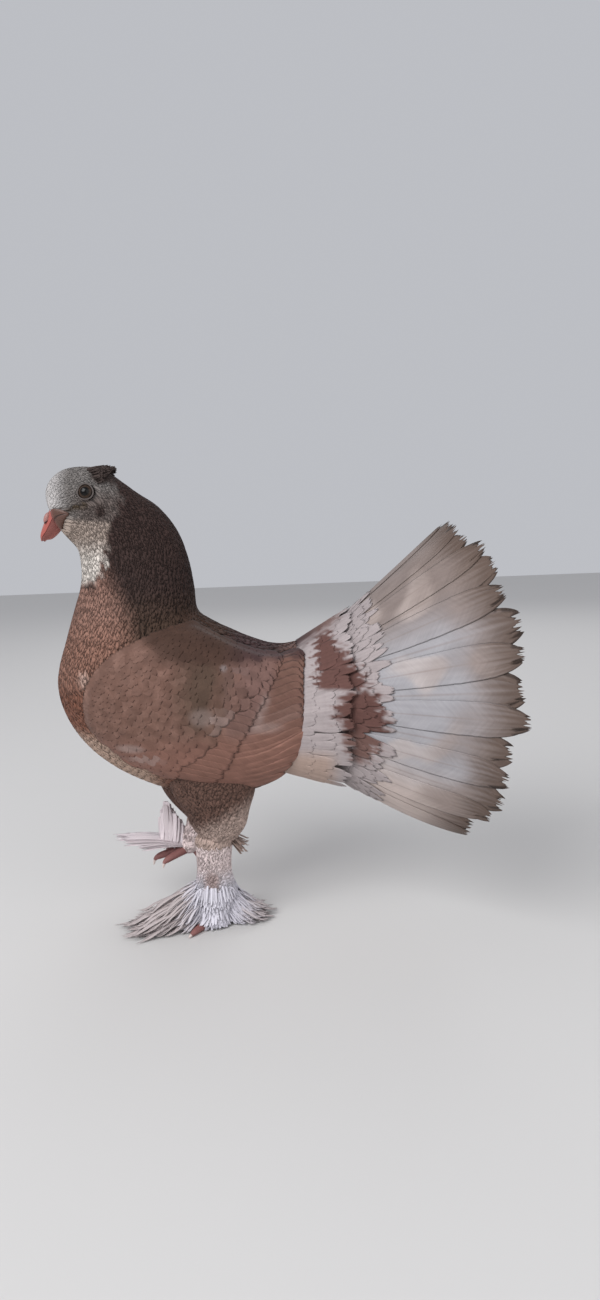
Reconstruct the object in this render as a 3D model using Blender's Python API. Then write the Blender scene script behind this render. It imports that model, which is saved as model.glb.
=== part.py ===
"""A life-size fantail pigeon that stands on one foot, as closed solids in named nodes.

The bird faces -X, its left side is -Y and up is +Z. The origin is on the floor,
under the ankle of the standing foot. Sizes below are in millimetres and become
metres where a mesh is made.
"""

import math

import bmesh
import bpy
import numpy as np

MM = 0.001
GAP = 0.4  # between the faces of two nodes that touch

# Body plan. Each station is a section of the plumage: where it meets the top line
# (x, z) and the under line (x, z) of the side view, its half width, and how far its
# widest place lies above the middle.
BODY = np.array(
    [
        (-83.3, 258.7, -78.0, 245.4, 4.6, 0.00),  # root of the bill
        (-84.8, 264.5, -76.2, 243.3, 7.2, 0.10),
        (-84.2, 271.0, -74.2, 241.0, 9.4, 0.20),  # forehead
        (-80.3, 276.8, -72.2, 238.6, 11.0, 0.25),
        (-73.6, 281.0, -70.2, 236.2, 12.0, 0.28),
        (-65.0, 282.4, -68.4, 233.2, 12.8, 0.28),  # crown
        (-56.3, 281.8, -67.6, 229.0, 13.6, 0.25),
        (-48.0, 279.0, -67.4, 224.0, 14.8, 0.18),
        (-40.3, 273.2, -67.4, 217.8, 16.8, 0.10),  # nape and throat
        (-31.0, 266.0, -69.0, 209.0, 19.4, 0.00),
        (-18.8, 257.0, -72.2, 200.5, 22.5, -0.05),
        (-8.7, 243.0, -75.8, 190.5, 26.4, -0.05),
        (-3.2, 226.5, -80.0, 178.0, 30.8, -0.05),
        (-0.6, 209.5, -84.2, 165.5, 35.2, 0.00),  # foot of the neck
        (0.6, 196.0, -86.2, 153.0, 38.8, 0.05),
        (8.5, 189.5, -84.0, 138.5, 41.2, 0.10),  # shoulders and breast
        (20.0, 183.5, -76.8, 123.0, 42.2, 0.12),
        (32.0, 178.0, -64.5, 108.5, 42.4, 0.12),
        (43.0, 174.3, -46.0, 95.5, 41.8, 0.12),
        (51.0, 173.6, -22.0, 85.5, 39.6, 0.10),  # back and belly
        (57.0, 174.5, 8.0, 80.5, 36.4, 0.08),
        (60.5, 175.8, 38.0, 86.0, 33.4, 0.04),
        (62.1, 176.3, 67.2, 104.5, 31.0, 0.00),  # end of the rump
    ]
)
HEAD_END = 8.0
NECK_END = 13.0
TORSO_END = 20.6
RUMP_END = 22.0
AROUND = 28  # points round a section of the body

# Eye, in body coordinates: station, and angle down from the top line.
EYE_STATION = 6.13
EYE_ANGLE = math.radians(63.2)
EYE_RADIUS = 5.4
EYE_SUNK = 3.5
LID_RADIUS = 4.9
LID_THICKNESS = 0.9

# Crest: rows of feathers as station, count, length and degrees that the row reaches down.
CREST_ROWS = ((5.35, 4, 9.5, 24), (5.85, 5, 9.5, 34), (6.35, 6, 9.6, 42))

# Bill: top, bottom, half width, from the root to the tip.
BILL = np.array(
    [
        (-83.3, 258.7, -78.0, 245.4, 4.5),
        (-86.0, 253.4, -80.4, 243.0, 3.9),
        (-88.6, 247.8, -83.6, 240.8, 3.0),
        (-90.2, 243.4, -86.8, 240.2, 2.0),
        (-90.2, 240.0, -88.4, 238.8, 0.7),
    ]
)
MOUTH = 0.12  # where the mouth line cuts a bill section, from -1 at the bottom to 1
MOUTH_GAP = 0.4
CERE = (-84.95, 253.2)  # x, z of the middle of the cere
CERE_TURN = math.radians(24)

# Tail fan: feathers leave a cone whose point is inside the rump.
FAN_POINT = np.array([30.0, 0.0, 138.0])
FAN_RISE = math.radians(3.0)
FAN_HALF_HEIGHT = math.radians(38.0)
FAN_HALF_WIDTH = math.radians(34.0)
FAN_ROOT = 50.0
FAN_STEP = math.radians(18.5)
FAN_SIDE_FEATHERS = 8
FAN_TOP_LENGTH = 160.0
FAN_SIDE_LENGTH = 181.0
FAN_LOW_LENGTH = 156.0
FAN_DROOP = 0.45  # how much wider the lower half of the fan opens at its root
FAN_COVERT_LENGTH = 98.0
FAN_FREE = 58.8  # where the vanes begin to widen
QUILL = 1.4  # half width of a vane in its root
VANE = 0.6  # thickness of a flight feather
LAYER = 1.4  # from one overlapping vane to the next

# Wings: stations and angles of the patch of body that a folded wing covers.
WING_FRONT = 14.15
WING_REAR = 21.9
WING_TOP = math.radians(27)
WING_LOW = math.radians(134)
WING_THICKNESS = 5.2
WING_CLEAR = 0.9  # from the plumage to the wing's inner face

# Legs: x, y, z, half width along X, half width along Y.
THIGH_LEFT = [
    (5.0, -15.0, 112.0, 22.0, 12.0),
    (5.0, -15.5, 98.0, 26.0, 14.0),
    (5.8, -15.5, 87.0, 25.0, 14.5),
    (7.3, -15.5, 76.0, 20.0, 13.5),
    (7.8, -14.0, 65.0, 16.4, 12.0),
    (7.8, -12.5, 57.0, 11.2, 9.6),
]
SHANK_LEFT = [
    (4.4, -12.4, 56.6, 12.0, 9.6),
    (3.4, -11.0, 48.0, 11.2, 9.2),
    (2.8, -8.6, 36.0, 10.8, 8.8),
    (2.6, -6.6, 27.0, 12.2, 9.8),
    (2.6, -5.6, 21.4, 14.0, 11.0),
]
FOOT_LEFT = (2.4, -5.4)
THIGH_RIGHT = [
    (-4.0, 15.0, 112.0, 18.0, 12.0),
    (-9.0, 16.5, 98.0, 22.0, 13.5),
    (-11.0, 18.5, 86.0, 22.0, 13.0),
    (-9.5, 20.0, 73.0, 18.0, 12.0),
    (-4.5, 20.0, 60.0, 12.0, 9.6),
]
SHANK_RIGHT = [
    (-4.6, 20.0, 59.6, 11.6, 9.2),
    (-6.5, 19.6, 55.0, 10.8, 8.4),
    (-10.0, 19.2, 49.0, 9.8, 7.6),
    (-12.0, 18.8, 44.4, 8.2, 6.6),
]
FOOT_RIGHT = [
    (-12.4, 18.8, 44.0, 8.8, 6.8),
    (-15.0, 18.6, 40.0, 7.6, 6.2),
    (-16.4, 18.5, 36.6, 4.6, 4.4),
]

# How far the standing foot's muff reaches, by degrees from straight ahead, left positive.
MUFF_REACH = (
    (-75, 30), (-45, 38), (-10, 52), (4, 62), (16, 65), (28, 58), (38, 34),
    (52, 15), (140, 14), (166, 34), (190, 39), (240, 34), (285, 30),
)
MUFF_LOW = (-72, -54, -37, -22, -9, 3, 15, 27, 40, 156, 172, 190, 208, 226, 246, 266)
MUFF_HIGH = (-62, -40, -20, -4, 10, 24, 38, 150, 180, 200, 222, 250)


def spline(rows, t):
    """The rows read as points of a smooth curve, at t counted in rows."""
    t = np.asarray(t, float)
    first = np.clip(np.floor(t).astype(int), 0, len(rows) - 2)
    f = (t - first)[..., None]
    padded = np.vstack([2 * rows[0] - rows[1], rows, 2 * rows[-1] - rows[-2]])
    a, b, c, d = (padded[first + k] for k in range(4))
    return 0.5 * (
        2 * b
        + (c - a) * f
        + (2 * a - 5 * b + 4 * c - d) * f**2
        + (3 * b - a - 3 * c + d) * f**3
    )


def unit(v):
    return v / np.linalg.norm(v, axis=-1, keepdims=True)


def body_point(station, angle, side=-1):
    """A point of the plumage: angle 0 is the top line and pi the under line."""
    row = spline(BODY, station)
    middle = (row[..., 0:2] + row[..., 2:4]) / 2
    half = (row[..., 0:2] - row[..., 2:4]) / 2
    up, out = np.cos(angle), np.sin(angle)
    y = side * row[..., 4] * out * (1 + row[..., 5] * up)
    return np.stack([middle[..., 0] + half[..., 0] * up, y, middle[..., 1] + half[..., 1] * up], -1)


def body_offset(station, angle, height, side=-1):
    """A point at a height above the plumage, along the surface's outward normal."""
    station, angle = np.broadcast_arrays(np.asarray(station, float), np.asarray(angle, float))
    step = 1e-3
    inside = np.clip(station, step, RUMP_END - step)
    along = body_point(inside + step, angle, side) - body_point(inside - step, angle, side)
    down = body_point(station, angle + step, side) - body_point(station, angle - step, side)
    normal = unit(np.cross(along, down) * side)
    return body_point(station, angle, side) + normal * np.asarray(height)[..., None]


def new_object(name, points, faces, colour=(0.5, 0.5, 0.5), roughness=0.7):
    """An object from points in millimetres, its faces turned to point outwards."""
    mesh = bpy.data.meshes.new(name)
    mesh.from_pydata((np.asarray(points, float) * MM).tolist(), [], faces)
    shape = bmesh.new()
    shape.from_mesh(mesh)
    bmesh.ops.recalc_face_normals(shape, faces=shape.faces[:])
    if shape.calc_volume(signed=True) < 0:
        bmesh.ops.reverse_faces(shape, faces=shape.faces[:])
    shape.to_mesh(mesh)
    shape.free()
    made = bpy.data.objects.new(name, mesh)
    bpy.context.scene.collection.objects.link(made)
    material = bpy.data.materials.new(name)
    material.use_nodes = True
    shader = material.node_tree.nodes["Principled BSDF"]
    shader.inputs["Base Color"].default_value = (*colour, 1.0)
    shader.inputs["Roughness"].default_value = roughness
    mesh.materials.append(material)
    return made


def loft(rings):
    """Points and faces of a closed skin over rings of equal count, with flat ends."""
    rings = np.asarray(rings, float)
    count, around = rings.shape[:2]
    faces = []
    for k in range(count - 1):
        for j in range(around):
            n = (j + 1) % around
            faces.append((k * around + j, k * around + n, (k + 1) * around + n, (k + 1) * around + j))
    faces.append(tuple(range(around)))
    faces.append(tuple((count - 1) * around + j for j in range(around)))
    return rings.reshape(-1, 3), faces


def domed(rings, end):
    """As loft, but the last ring closes on one point."""
    points, faces = loft(rings)
    around = np.asarray(rings).shape[1]
    last = len(points) - around
    faces.pop()
    faces += [(last + j, last + (j + 1) % around, len(points)) for j in range(around)]
    return np.vstack([points, end]), faces


def plate(middle, normals, thickness):
    """A thin closed plate. middle and normals are grids, rows along it and columns across."""
    rows, columns = middle.shape[:2]
    half = normals * (np.asarray(thickness) / 2)
    points = np.vstack([(middle + half).reshape(-1, 3), (middle - half).reshape(-1, 3)])
    below = rows * columns
    faces = []
    for k in range(rows - 1):
        for j in range(columns - 1):
            a = k * columns + j
            b, c, d = a + 1, a + columns + 1, a + columns
            for corners in ((a, b, c), (a, c, d)):
                faces.append(corners)
                faces.append(tuple(v + below for v in reversed(corners)))
    rim = [k * columns for k in range(rows)]
    rim += [(rows - 1) * columns + j for j in range(1, columns)]
    rim += [k * columns + columns - 1 for k in range(rows - 2, -1, -1)]
    rim += list(range(columns - 2, 0, -1))
    for a, b in zip(rim, rim[1:] + rim[:1]):
        faces.append((a, b, b + below))
        faces.append((a, b + below, a + below))
    return points, faces


def feather_width(s, full, quill=0.1, widest=0.78, power=0.8):
    """Half width of a vane at share s of its length: a narrow quill, then a broad round end."""
    s = np.asarray(s, float)
    rise = np.clip(s / widest, 0, 1)
    rise = quill + (1 - quill) * np.sin(rise * math.pi / 2) ** power
    past = np.clip((s - widest) / (1.03 - widest), 0, 1)
    return full * rise * np.sqrt(1 - past**2)


def largest_part(mesh):
    """Drops all but the largest closed surface of a mesh."""
    shape = bmesh.new()
    shape.from_mesh(mesh)
    bmesh.ops.triangulate(shape, faces=shape.faces[:])
    left = set(shape.faces)
    parts = []
    while left:
        stack = [left.pop()]
        part = list(stack)
        while stack:
            for edge in stack.pop().edges:
                for face in edge.link_faces:
                    if face in left:
                        left.remove(face)
                        part.append(face)
                        stack.append(face)
        volume = sum(
            f.verts[0].co.dot(f.verts[1].co.cross(f.verts[2].co)) / 6 for f in part
        )
        parts.append((volume, part))
    parts.sort(key=lambda item: item[0])
    spare = [face for _, part in parts[:-1] for face in part]
    bmesh.ops.delete(shape, geom=spare, context="FACES")
    shape.to_mesh(mesh)
    shape.free()


def apply_boolean(base, operation, others, solver="EXACT"):
    """Applies one Boolean of a collection of closed objects to base, then removes them."""
    group = bpy.data.collections.new("pieces")
    for other in others:
        group.objects.link(other)
    cut = base.modifiers.new("join", "BOOLEAN")
    cut.operation = operation
    cut.operand_type = "COLLECTION"
    cut.collection = group
    cut.solver = solver
    bpy.context.view_layer.update()
    graph = bpy.context.evaluated_depsgraph_get()
    mesh = bpy.data.meshes.new_from_object(base.evaluated_get(graph))
    base.modifiers.clear()
    base.data = mesh
    for other in others:
        bpy.data.objects.remove(other)
    bpy.data.collections.remove(group)
    largest_part(mesh)


def shade(made, angle=35):
    made.data.shade_smooth()
    made.data.set_sharp_from_angle(angle=math.radians(angle))


def ball(name, centre, radii, turn=0.0, across=16, tall=10):
    """An ellipsoid, turned about Y by an angle."""
    polar = np.linspace(0, math.pi, tall + 1)[1:-1]
    round_angle = np.linspace(0, 2 * math.pi, across, endpoint=False)
    p, a = np.meshgrid(polar, round_angle, indexing="ij")
    shape = np.stack([np.sin(p) * np.cos(a), np.sin(p) * np.sin(a), np.cos(p)], -1) * radii
    c, s = math.cos(turn), math.sin(turn)
    turned = np.array([[c, 0, s], [0, 1, 0], [-s, 0, c]])
    rings = shape @ turned.T + centre
    poles = np.array([[0, 0, radii[2]], [0, 0, -radii[2]]]) @ turned.T + centre
    points, faces = loft(rings)
    faces = faces[:-2]
    count = len(points)
    last = count - across
    faces += [((j + 1) % across, j, count) for j in range(across)]
    faces += [(last + j, last + (j + 1) % across, count + 1) for j in range(across)]
    return new_object(name, np.vstack([points, poles]), faces)


def ring_about(centre, axis, major, minor, name="ring", around=16, thick=5):
    """A torus about an axis."""
    axis = unit(np.asarray(axis, float))
    side = unit(np.cross(axis, [0.0, 0.0, 1.0]))
    up = np.cross(side, axis)
    a = np.linspace(0, 2 * math.pi, around, endpoint=False)[:, None, None]
    b = np.linspace(0, 2 * math.pi, thick, endpoint=False)[None, :, None]
    outward = np.cos(a) * side + np.sin(a) * up
    points = centre + outward * (major + minor * np.cos(b)) + axis * minor * np.sin(b)
    faces = []
    for i in range(around):
        for j in range(thick):
            ni, nj = (i + 1) % around, (j + 1) % thick
            faces.append((i * thick + j, ni * thick + j, ni * thick + nj, i * thick + nj))
    return new_object(name, points.reshape(-1, 3), faces)


def body_rings(start, end, count, grow=0.0):
    """Sections of the plumage between two stations."""
    stations = np.linspace(start, end, count)
    angle = np.linspace(0, math.pi, AROUND // 2 + 1)
    s, a = np.meshgrid(stations, angle, indexing="ij")
    left = body_offset(s, a, grow, -1)
    right = body_offset(s, a, grow, 1)
    return np.concatenate([left, right[:, -2:0:-1]], axis=1)


def body_node(name, start, end, count, colour):
    points, faces = loft(body_rings(start, end, count))
    made = new_object(name, points, faces, colour)
    shade(made)
    return made


def gap_stations(station):
    """How far GAP is, counted in stations, half way down the section."""
    step = body_point(station + 0.05, math.pi / 2) - body_point(station - 0.05, math.pi / 2)
    return GAP / 2 / (np.linalg.norm(step) / 0.1)


# Head

def eye_frame(side):
    """The middle of an eye's opening and the way that it looks."""
    place = body_offset(EYE_STATION, EYE_ANGLE, 0.0, side)
    look = unit(body_offset(EYE_STATION, EYE_ANGLE, 1.0, side) - place)
    return place, look


def crest_plates():
    """Short feathers of the nape peak: they leave the crown and run straight back."""
    plates = []
    for station, count, length, spread in CREST_ROWS:
        for k in range(count):
            across = (k + 0.5) / count * 2 - 1
            side = -1 if across < 0 else 1
            angle = abs(across) * math.radians(spread)
            root = body_offset(station, angle, -1.3, side)
            normal = body_offset(station, angle, 1.0, side) - body_offset(station, angle, 0.0, side)
            ahead = unit(body_point(station + 0.2, angle, side) - body_point(station, angle, side))
            way = unit(ahead * 0.5 * abs(across) + np.array([1.0, -0.42 * across, 0.05]))
            lateral = unit(np.cross(normal, way))
            normal = np.cross(way, lateral)
            s = np.array([0.0, 0.4, 0.75, 1.0])
            line = root + way * (s * length * (1 - 0.2 * abs(across)))[:, None]
            half = feather_width(s, 2.1, 0.55, 0.45)
            grid = line[:, None] + lateral * (half[:, None, None] * np.array([-1, 1])[None, :, None])
            plates.append(plate(grid, np.broadcast_to(normal, grid.shape), 0.7))
    return plates


def build_head():
    end = HEAD_END - gap_stations(HEAD_END)
    points, faces = loft(body_rings(0.0, end, 15))
    head = new_object("head", points, faces, (0.72, 0.70, 0.68))
    added = []
    for points, faces in crest_plates():
        added.append(new_object("crest_feather", points, faces))
    sockets = []
    for side in (-1, 1):
        place, look = eye_frame(side)
        added.append(ring_about(place + look * 0.1, look, LID_RADIUS, LID_THICKNESS))
        radius = EYE_RADIUS + GAP
        sockets.append(ball("socket", place - look * EYE_SUNK, (radius,) * 3, 0.0, 18, 12))
    apply_boolean(head, "UNION", added)
    apply_boolean(head, "DIFFERENCE", sockets)
    shade(head)
    for side, word in ((-1, "left"), (1, "right")):
        place, look = eye_frame(side)
        eye = ball(f"eye_{word}", place - look * EYE_SUNK, (EYE_RADIUS,) * 3, 0.0, 16, 11)
        eye.data.materials[0].node_tree.nodes["Principled BSDF"].inputs["Roughness"].default_value = 0.1
        shade(eye)


def bill_ring(share, upper, count=9):
    """Half of a bill section, above or below the mouth line."""
    row = spline(BILL, share)
    middle = (row[0:2] + row[2:4]) / 2
    half = (row[0:2] - row[2:4]) / 2
    tall = np.linalg.norm(half)
    cut = MOUTH + (MOUTH_GAP / 2 / tall) * (1 if upper else -1)
    limit = math.acos(cut)
    if upper:
        angle = np.linspace(-limit, limit, count)
    else:
        angle = np.linspace(limit, 2 * math.pi - limit, count)
    up, out = np.cos(angle), np.sin(angle)
    return np.stack([middle[0] + half[0] * up, row[4] * out, middle[1] + half[1] * up], -1)


def build_bill():
    colour = (0.72, 0.30, 0.27)
    shares = np.array([0.0, 0.7, 1.4, 2.1, 2.8, 3.4, 3.9])
    for name, upper in (("bill_upper", True), ("bill_lower", False)):
        shares_here = shares if upper else shares * 0.93
        rings = np.array([bill_ring(s, upper) for s in shares_here])
        ahead = unit(rings[1].mean(0) - rings[0].mean(0))
        face = unit(np.array([BODY[0, 1] - BODY[0, 3], 0.0, BODY[0, 2] - BODY[0, 0]]))
        face = face * np.sign(face @ ahead)
        rings = rings + face * GAP
        points, faces = loft(rings)
        made = new_object(name, points, faces, colour, 0.45)
        if upper:
            ceres, slits = [], []
            for side in (-1, 1):
                centre = np.array([CERE[0], side * 1.9, CERE[1]])
                ceres.append(ball("cere", centre, (1.9, 2.0, 3.6), CERE_TURN, 12, 8))
                centre = np.array([CERE[0] - 0.5, side * 3.7, CERE[1] - 2.3])
                slits.append(ball("nostril", centre, (0.5, 0.8, 1.5), CERE_TURN + 0.5, 8, 6))
            apply_boolean(made, "UNION", ceres)
            apply_boolean(made, "DIFFERENCE", slits)
        shade(made)


# Rump and tail fan

def fan_axes():
    axis = np.array([math.cos(FAN_RISE), 0.0, math.sin(FAN_RISE)])
    up = np.array([-math.sin(FAN_RISE), 0.0, math.cos(FAN_RISE)])
    return axis, up, np.array([0.0, -1.0, 0.0])


def fan_way(turn, radius):
    """The way from the fan's point at a turn round it: 0 is up, and positive turns left."""
    axis, up, left = fan_axes()
    turn, radius = np.broadcast_arrays(np.asarray(turn, float), np.asarray(radius, float))
    near = np.clip((150.0 - radius) / 100.0, 0, 1)
    droop = 1 + FAN_DROOP * near * np.clip(-np.cos(turn) * 1.4, 0, 1)
    tall = math.tan(FAN_HALF_HEIGHT) * droop * np.cos(turn)
    wide = math.tan(FAN_HALF_WIDTH) * np.sin(turn)
    return unit(axis + tall[..., None] * up + wide[..., None] * left)


def fan_point(radius, turn, height):
    """A point of the fan: radius from its point, turn round it, height on its outer side."""
    radius, turn, height = np.broadcast_arrays(radius, turn, height)
    step = 1e-4
    way = fan_way(turn, radius)
    round_way = fan_way(turn + step, radius) - fan_way(turn - step, radius)
    normal = unit(np.cross(round_way, way))
    return FAN_POINT + way * radius[..., None] + normal * height[..., None]


def fan_normal(radius, turn):
    return fan_point(radius, turn, 1.0) - fan_point(radius, turn, 0.0)


def fan_arc(radius, turn):
    """Millimetres along the fan for each radian of turn."""
    step = 1e-4
    apart = fan_point(radius, turn + step, 0.0) - fan_point(radius, turn - step, 0.0)
    return np.linalg.norm(apart, axis=-1) / (2 * step)


def fan_length(turn):
    """How far the feathers reach, longer at the sides of the fan than at its top."""
    side = math.sin(abs(turn)) if abs(turn) < math.pi / 2 else 1.0
    past = max(0.0, abs(turn) - math.pi / 2) / (FAN_STEP * FAN_SIDE_FEATHERS - math.pi / 2)
    length = FAN_TOP_LENGTH + (FAN_SIDE_LENGTH - FAN_TOP_LENGTH) * side
    return length + (FAN_LOW_LENGTH - FAN_SIDE_LENGTH) * past**0.75


def fan_vane(place, length, full, height, shares):
    """One vane of the fan. place counts feathers from the top one, left positive."""
    turn = place * FAN_STEP
    s = np.concatenate([[0.0], shares])
    radius = np.concatenate([[FAN_ROOT + 2.5], FAN_FREE + (length - FAN_FREE) * np.asarray(shares)])
    arc = fan_arc(radius, np.full_like(radius, turn))
    half = feather_width(s, full - QUILL, 0.0) + QUILL * (1 - s**6)
    tilt = LAYER / (arc * FAN_STEP) * (0 if place == 0 else math.copysign(1, place))
    across = half[:, None] * np.array([-1.0, 0.0, 1.0])
    turns = turn + across / arc[:, None]
    heights = height + across * tilt[:, None]
    if place == 0:
        heights = heights + LAYER * np.clip((radius - 55) / 12, 0, 1)[:, None]
    radii = np.broadcast_to(radius[:, None], turns.shape)
    grid = fan_point(radii, turns, heights)
    return plate(grid, fan_normal(radii, turns), VANE)


def fan_block(first, last):
    """The root of a group of tail feathers: a curved block on the end of the rump."""
    count = 7
    turns = np.linspace(first, last, count)
    inner, outer = FAN_ROOT + GAP, FAN_FREE - 1.8
    section = [(inner, -5.2), (outer, -4.4), (outer + 1.0, 0.0), (outer, 4.6), (inner, 5.4)]
    rings = [[fan_point(r, turn, h) for r, h in section] for turn in turns]
    return loft(rings)


def build_rump():
    start = TORSO_END + gap_stations(TORSO_END)
    rings = list(body_rings(start, RUMP_END, 5))
    axis, _, _ = fan_axes()
    rim = rings[-1]
    reach = np.linalg.norm(rim - FAN_POINT, axis=1)
    way = unit(rim - FAN_POINT)
    for share in (0.2, 0.45, 0.7):
        turned = unit(way * (1 - share) + axis * share)
        rings.append(FAN_POINT + turned * (reach * max(0, 1 - 5 * share) + FAN_ROOT * min(1, 5 * share))[:, None])
    points, faces = domed(rings, FAN_POINT + axis * FAN_ROOT)
    made = new_object("rump", points, faces, (0.30, 0.16, 0.12))
    shade(made)


def build_fan():
    groups = {
        "tail_fan_top": (-1.25, 1.25),
        "tail_fan_left_high": (1.25, 4.75),
        "tail_fan_left_low": (4.75, FAN_SIDE_FEATHERS + 0.45),
        "tail_fan_right_high": (-4.75, -1.25),
        "tail_fan_right_low": (-FAN_SIDE_FEATHERS - 0.45, -4.75),
    }
    places = np.arange(-FAN_SIDE_FEATHERS, FAN_SIDE_FEATHERS + 0.1)
    between = places[:-1] + 0.5
    half_gap = GAP / 2 / (FAN_ROOT * 0.5)
    for name, (first, last) in groups.items():
        points, faces = fan_block(first * FAN_STEP + half_gap, last * FAN_STEP - half_gap)
        made = new_object(name, points, faces, (0.80, 0.77, 0.74))
        vanes = []
        for place in places[(places > first) & (places < last)]:
            length = fan_length(place * FAN_STEP)
            vanes.append(fan_vane(place, length, 18.0, 0.6, (0, 0.2, 0.45, 0.72, 0.92, 1)))
            vanes.append(fan_vane(place, FAN_COVERT_LENGTH, 9.5, 3.2, (0, 0.35, 0.75, 1)))
        for place in between[(between > first) & (between < last)]:
            length = fan_length(place * FAN_STEP) - 2.0
            vanes.append(fan_vane(place, length, 17.0, -2.9, (0, 0.2, 0.45, 0.72, 0.92, 1)))
        added = [new_object("vane", p, f) for p, f in vanes]
        apply_boolean(made, "UNION", added)
        shade(made, 20)


# Wings

def wing_place(along, down):
    """Station and angle for shares along the wing and down it, both 0 to 1."""
    spread = 2 * down - 1
    front = WING_FRONT + 0.5 * np.clip(-spread, 0, 1) ** 2 + 1.7 * np.clip(spread, 0, 1) ** 2.5
    station = front + (WING_REAR - front) * along
    angle = WING_TOP + (WING_LOW - WING_TOP) * down
    return station, angle


def wing_thickness(along, down):
    """Thickness of the wing's own body, thin at its edges and its rear."""
    spread = np.abs(2 * down - 1)
    edge = np.clip(1 - spread**3, 0, 1) ** 0.7
    front = np.clip(along / 0.16, 0, 1) ** 0.5
    rear = 1 - 0.62 * np.clip((along - 0.45) / 0.55, 0, 1)
    return 0.9 + (WING_THICKNESS - 0.9) * edge * front * rear


def wing_core(side):
    along = np.concatenate([[0, 0.04], np.linspace(0.12, 1, 9)])
    down = np.linspace(0, 1, 9)
    a, d = np.meshgrid(along, down, indexing="ij")
    station, angle = wing_place(a, d)
    outer = body_offset(station, angle, wing_thickness(a, d) + WING_CLEAR, side)
    inner = body_offset(station, angle, np.full_like(a, WING_CLEAR), side)
    return plate_between(outer, inner)


def plate_between(top, bottom):
    """A closed plate between two grids of points."""
    middle = (top + bottom) / 2
    points, faces = plate(middle, np.zeros_like(middle), 0.0)
    return np.vstack([top.reshape(-1, 3), bottom.reshape(-1, 3)]), faces


def wing_top(station, angle):
    """Height of the wing's own body over the plumage at a place."""
    down = np.clip((angle - WING_TOP) / (WING_LOW - WING_TOP), 0, 1)
    front, _ = wing_place(0.0, down)
    along = np.clip((station - front) / (WING_REAR - front), 0, 1)
    return WING_CLEAR + wing_thickness(along, down)


def wing_vane(side, root, tip, full, lift, stations=(0, 0.45, 0.85, 1)):
    """One wing feather from root to tip, each a station and an angle on the body."""
    s = np.asarray(stations)
    station = root[0] + (tip[0] - root[0]) * s
    angle = root[1] + (tip[1] - root[1]) * s
    step = 1e-3
    turn = body_point(station, angle + step, side) - body_point(station, angle - step, side)
    per_radian = np.linalg.norm(turn, axis=-1) / (2 * step)
    half = feather_width(s, full, 0.5, 0.6)
    across = half[:, None] * np.array([-1.0, 0.0, 1.0])
    angles = angle[:, None] + across / per_radian[:, None]
    grid_stations = np.broadcast_to(station[:, None], angles.shape)
    over = -0.7 + (lift + 0.7) * s[:, None] - 0.5 * across / full
    heights = wing_top(grid_stations, angles) + over
    grid = body_offset(grid_stations, angles, heights, side)
    above = body_offset(grid_stations, angles, heights + 1.0, side)
    return plate(grid, above - grid, VANE)


def wing_vanes(side):
    """The tiers of the folded wing: median and greater coverts, secondaries and primaries."""
    made = []
    tiers = (
        (15.8, 17.7, 6, 38, 122, 7.4, 1.7),
        (17.2, 19.4, 7, 36, 124, 7.2, 1.7),
        (18.8, 21.85, 7, 33, 106, 7.0, 0.9),
    )
    for start, end, count, high, low, full, lift in tiers:
        for k in range(count):
            angle = math.radians(high + (low - high) * k / (count - 1))
            tip = angle + math.radians(2.0)
            made.append(wing_vane(side, (start, angle), (end, tip), full, lift))
    for k in range(4):
        root = (18.9 + 0.12 * k, math.radians(113 + 5.5 * k))
        tip = (21.98 - 0.2 * k, math.radians(112 + 9 * k))
        made.append(wing_vane(side, root, tip, 5.0, 0.7))
    return made


def build_wings():
    for side, word in ((-1, "left"), (1, "right")):
        points, faces = wing_core(side)
        made = new_object(f"wing_{word}", points, faces, (0.33, 0.18, 0.14))
        added = [new_object("vane", p, f) for p, f in wing_vanes(side)]
        apply_boolean(made, "UNION", added)
        shade(made, 20)


# Legs

def limb_rings(rows, count, around=14):
    rows = np.asarray(rows, float)
    line = spline(rows, np.linspace(0, len(rows) - 1, count))
    a = np.linspace(0, 2 * math.pi, around, endpoint=False)
    rings = np.zeros((count, around, 3))
    rings[..., 0] = line[:, None, 0] + line[:, None, 3] * np.cos(a)
    rings[..., 1] = line[:, None, 1] + line[:, None, 4] * np.sin(a)
    rings[..., 2] = line[:, None, 2]
    return rings


def tube(path, radii, around=6):
    """A tapered round limb along a path of points."""
    path = np.asarray(path, float)
    ahead = unit(np.gradient(path, axis=0))
    side = unit(np.cross(path[-1] - path[0], [0.0, 0.0, 1.0]))
    side = np.broadcast_to(side, ahead.shape)
    up = np.cross(side, ahead)
    a = np.linspace(0, 2 * math.pi, around, endpoint=False) + math.pi / around
    ring = np.cos(a)[None, :, None] * side[:, None] + np.sin(a)[None, :, None] * up[:, None]
    return path[:, None] + ring * np.asarray(radii)[:, None, None]


def body_cutter(grow):
    points, faces = loft(body_rings(13.2, 21.9, 27, grow))
    return new_object("clearance", points, faces)


def wing_cutter(side):
    along = np.linspace(0.0, 1.01, 20)
    down = np.linspace(0.5, 1.14, 12)
    a, d = np.meshgrid(along, down, indexing="ij")
    station, angle = wing_place(a, d)
    outer = body_offset(station, angle, np.full_like(a, 9.0), side)
    inner = body_offset(station, angle, np.full_like(a, -1.0), side)
    return new_object("wing_clearance", *plate_between(outer, inner))


def build_thigh(name, rows, side):
    points, faces = loft(limb_rings(rows, 9))
    made = new_object(name, points, faces, (0.32, 0.18, 0.14))
    apply_boolean(made, "DIFFERENCE", [body_cutter(GAP), wing_cutter(side)])
    shade(made)


def toe_parts(path, radii, floor):
    rings = tube(path, radii)
    if floor:
        rings[..., 2] = np.maximum(rings[..., 2], 0.0)
    return loft(rings)


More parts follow.
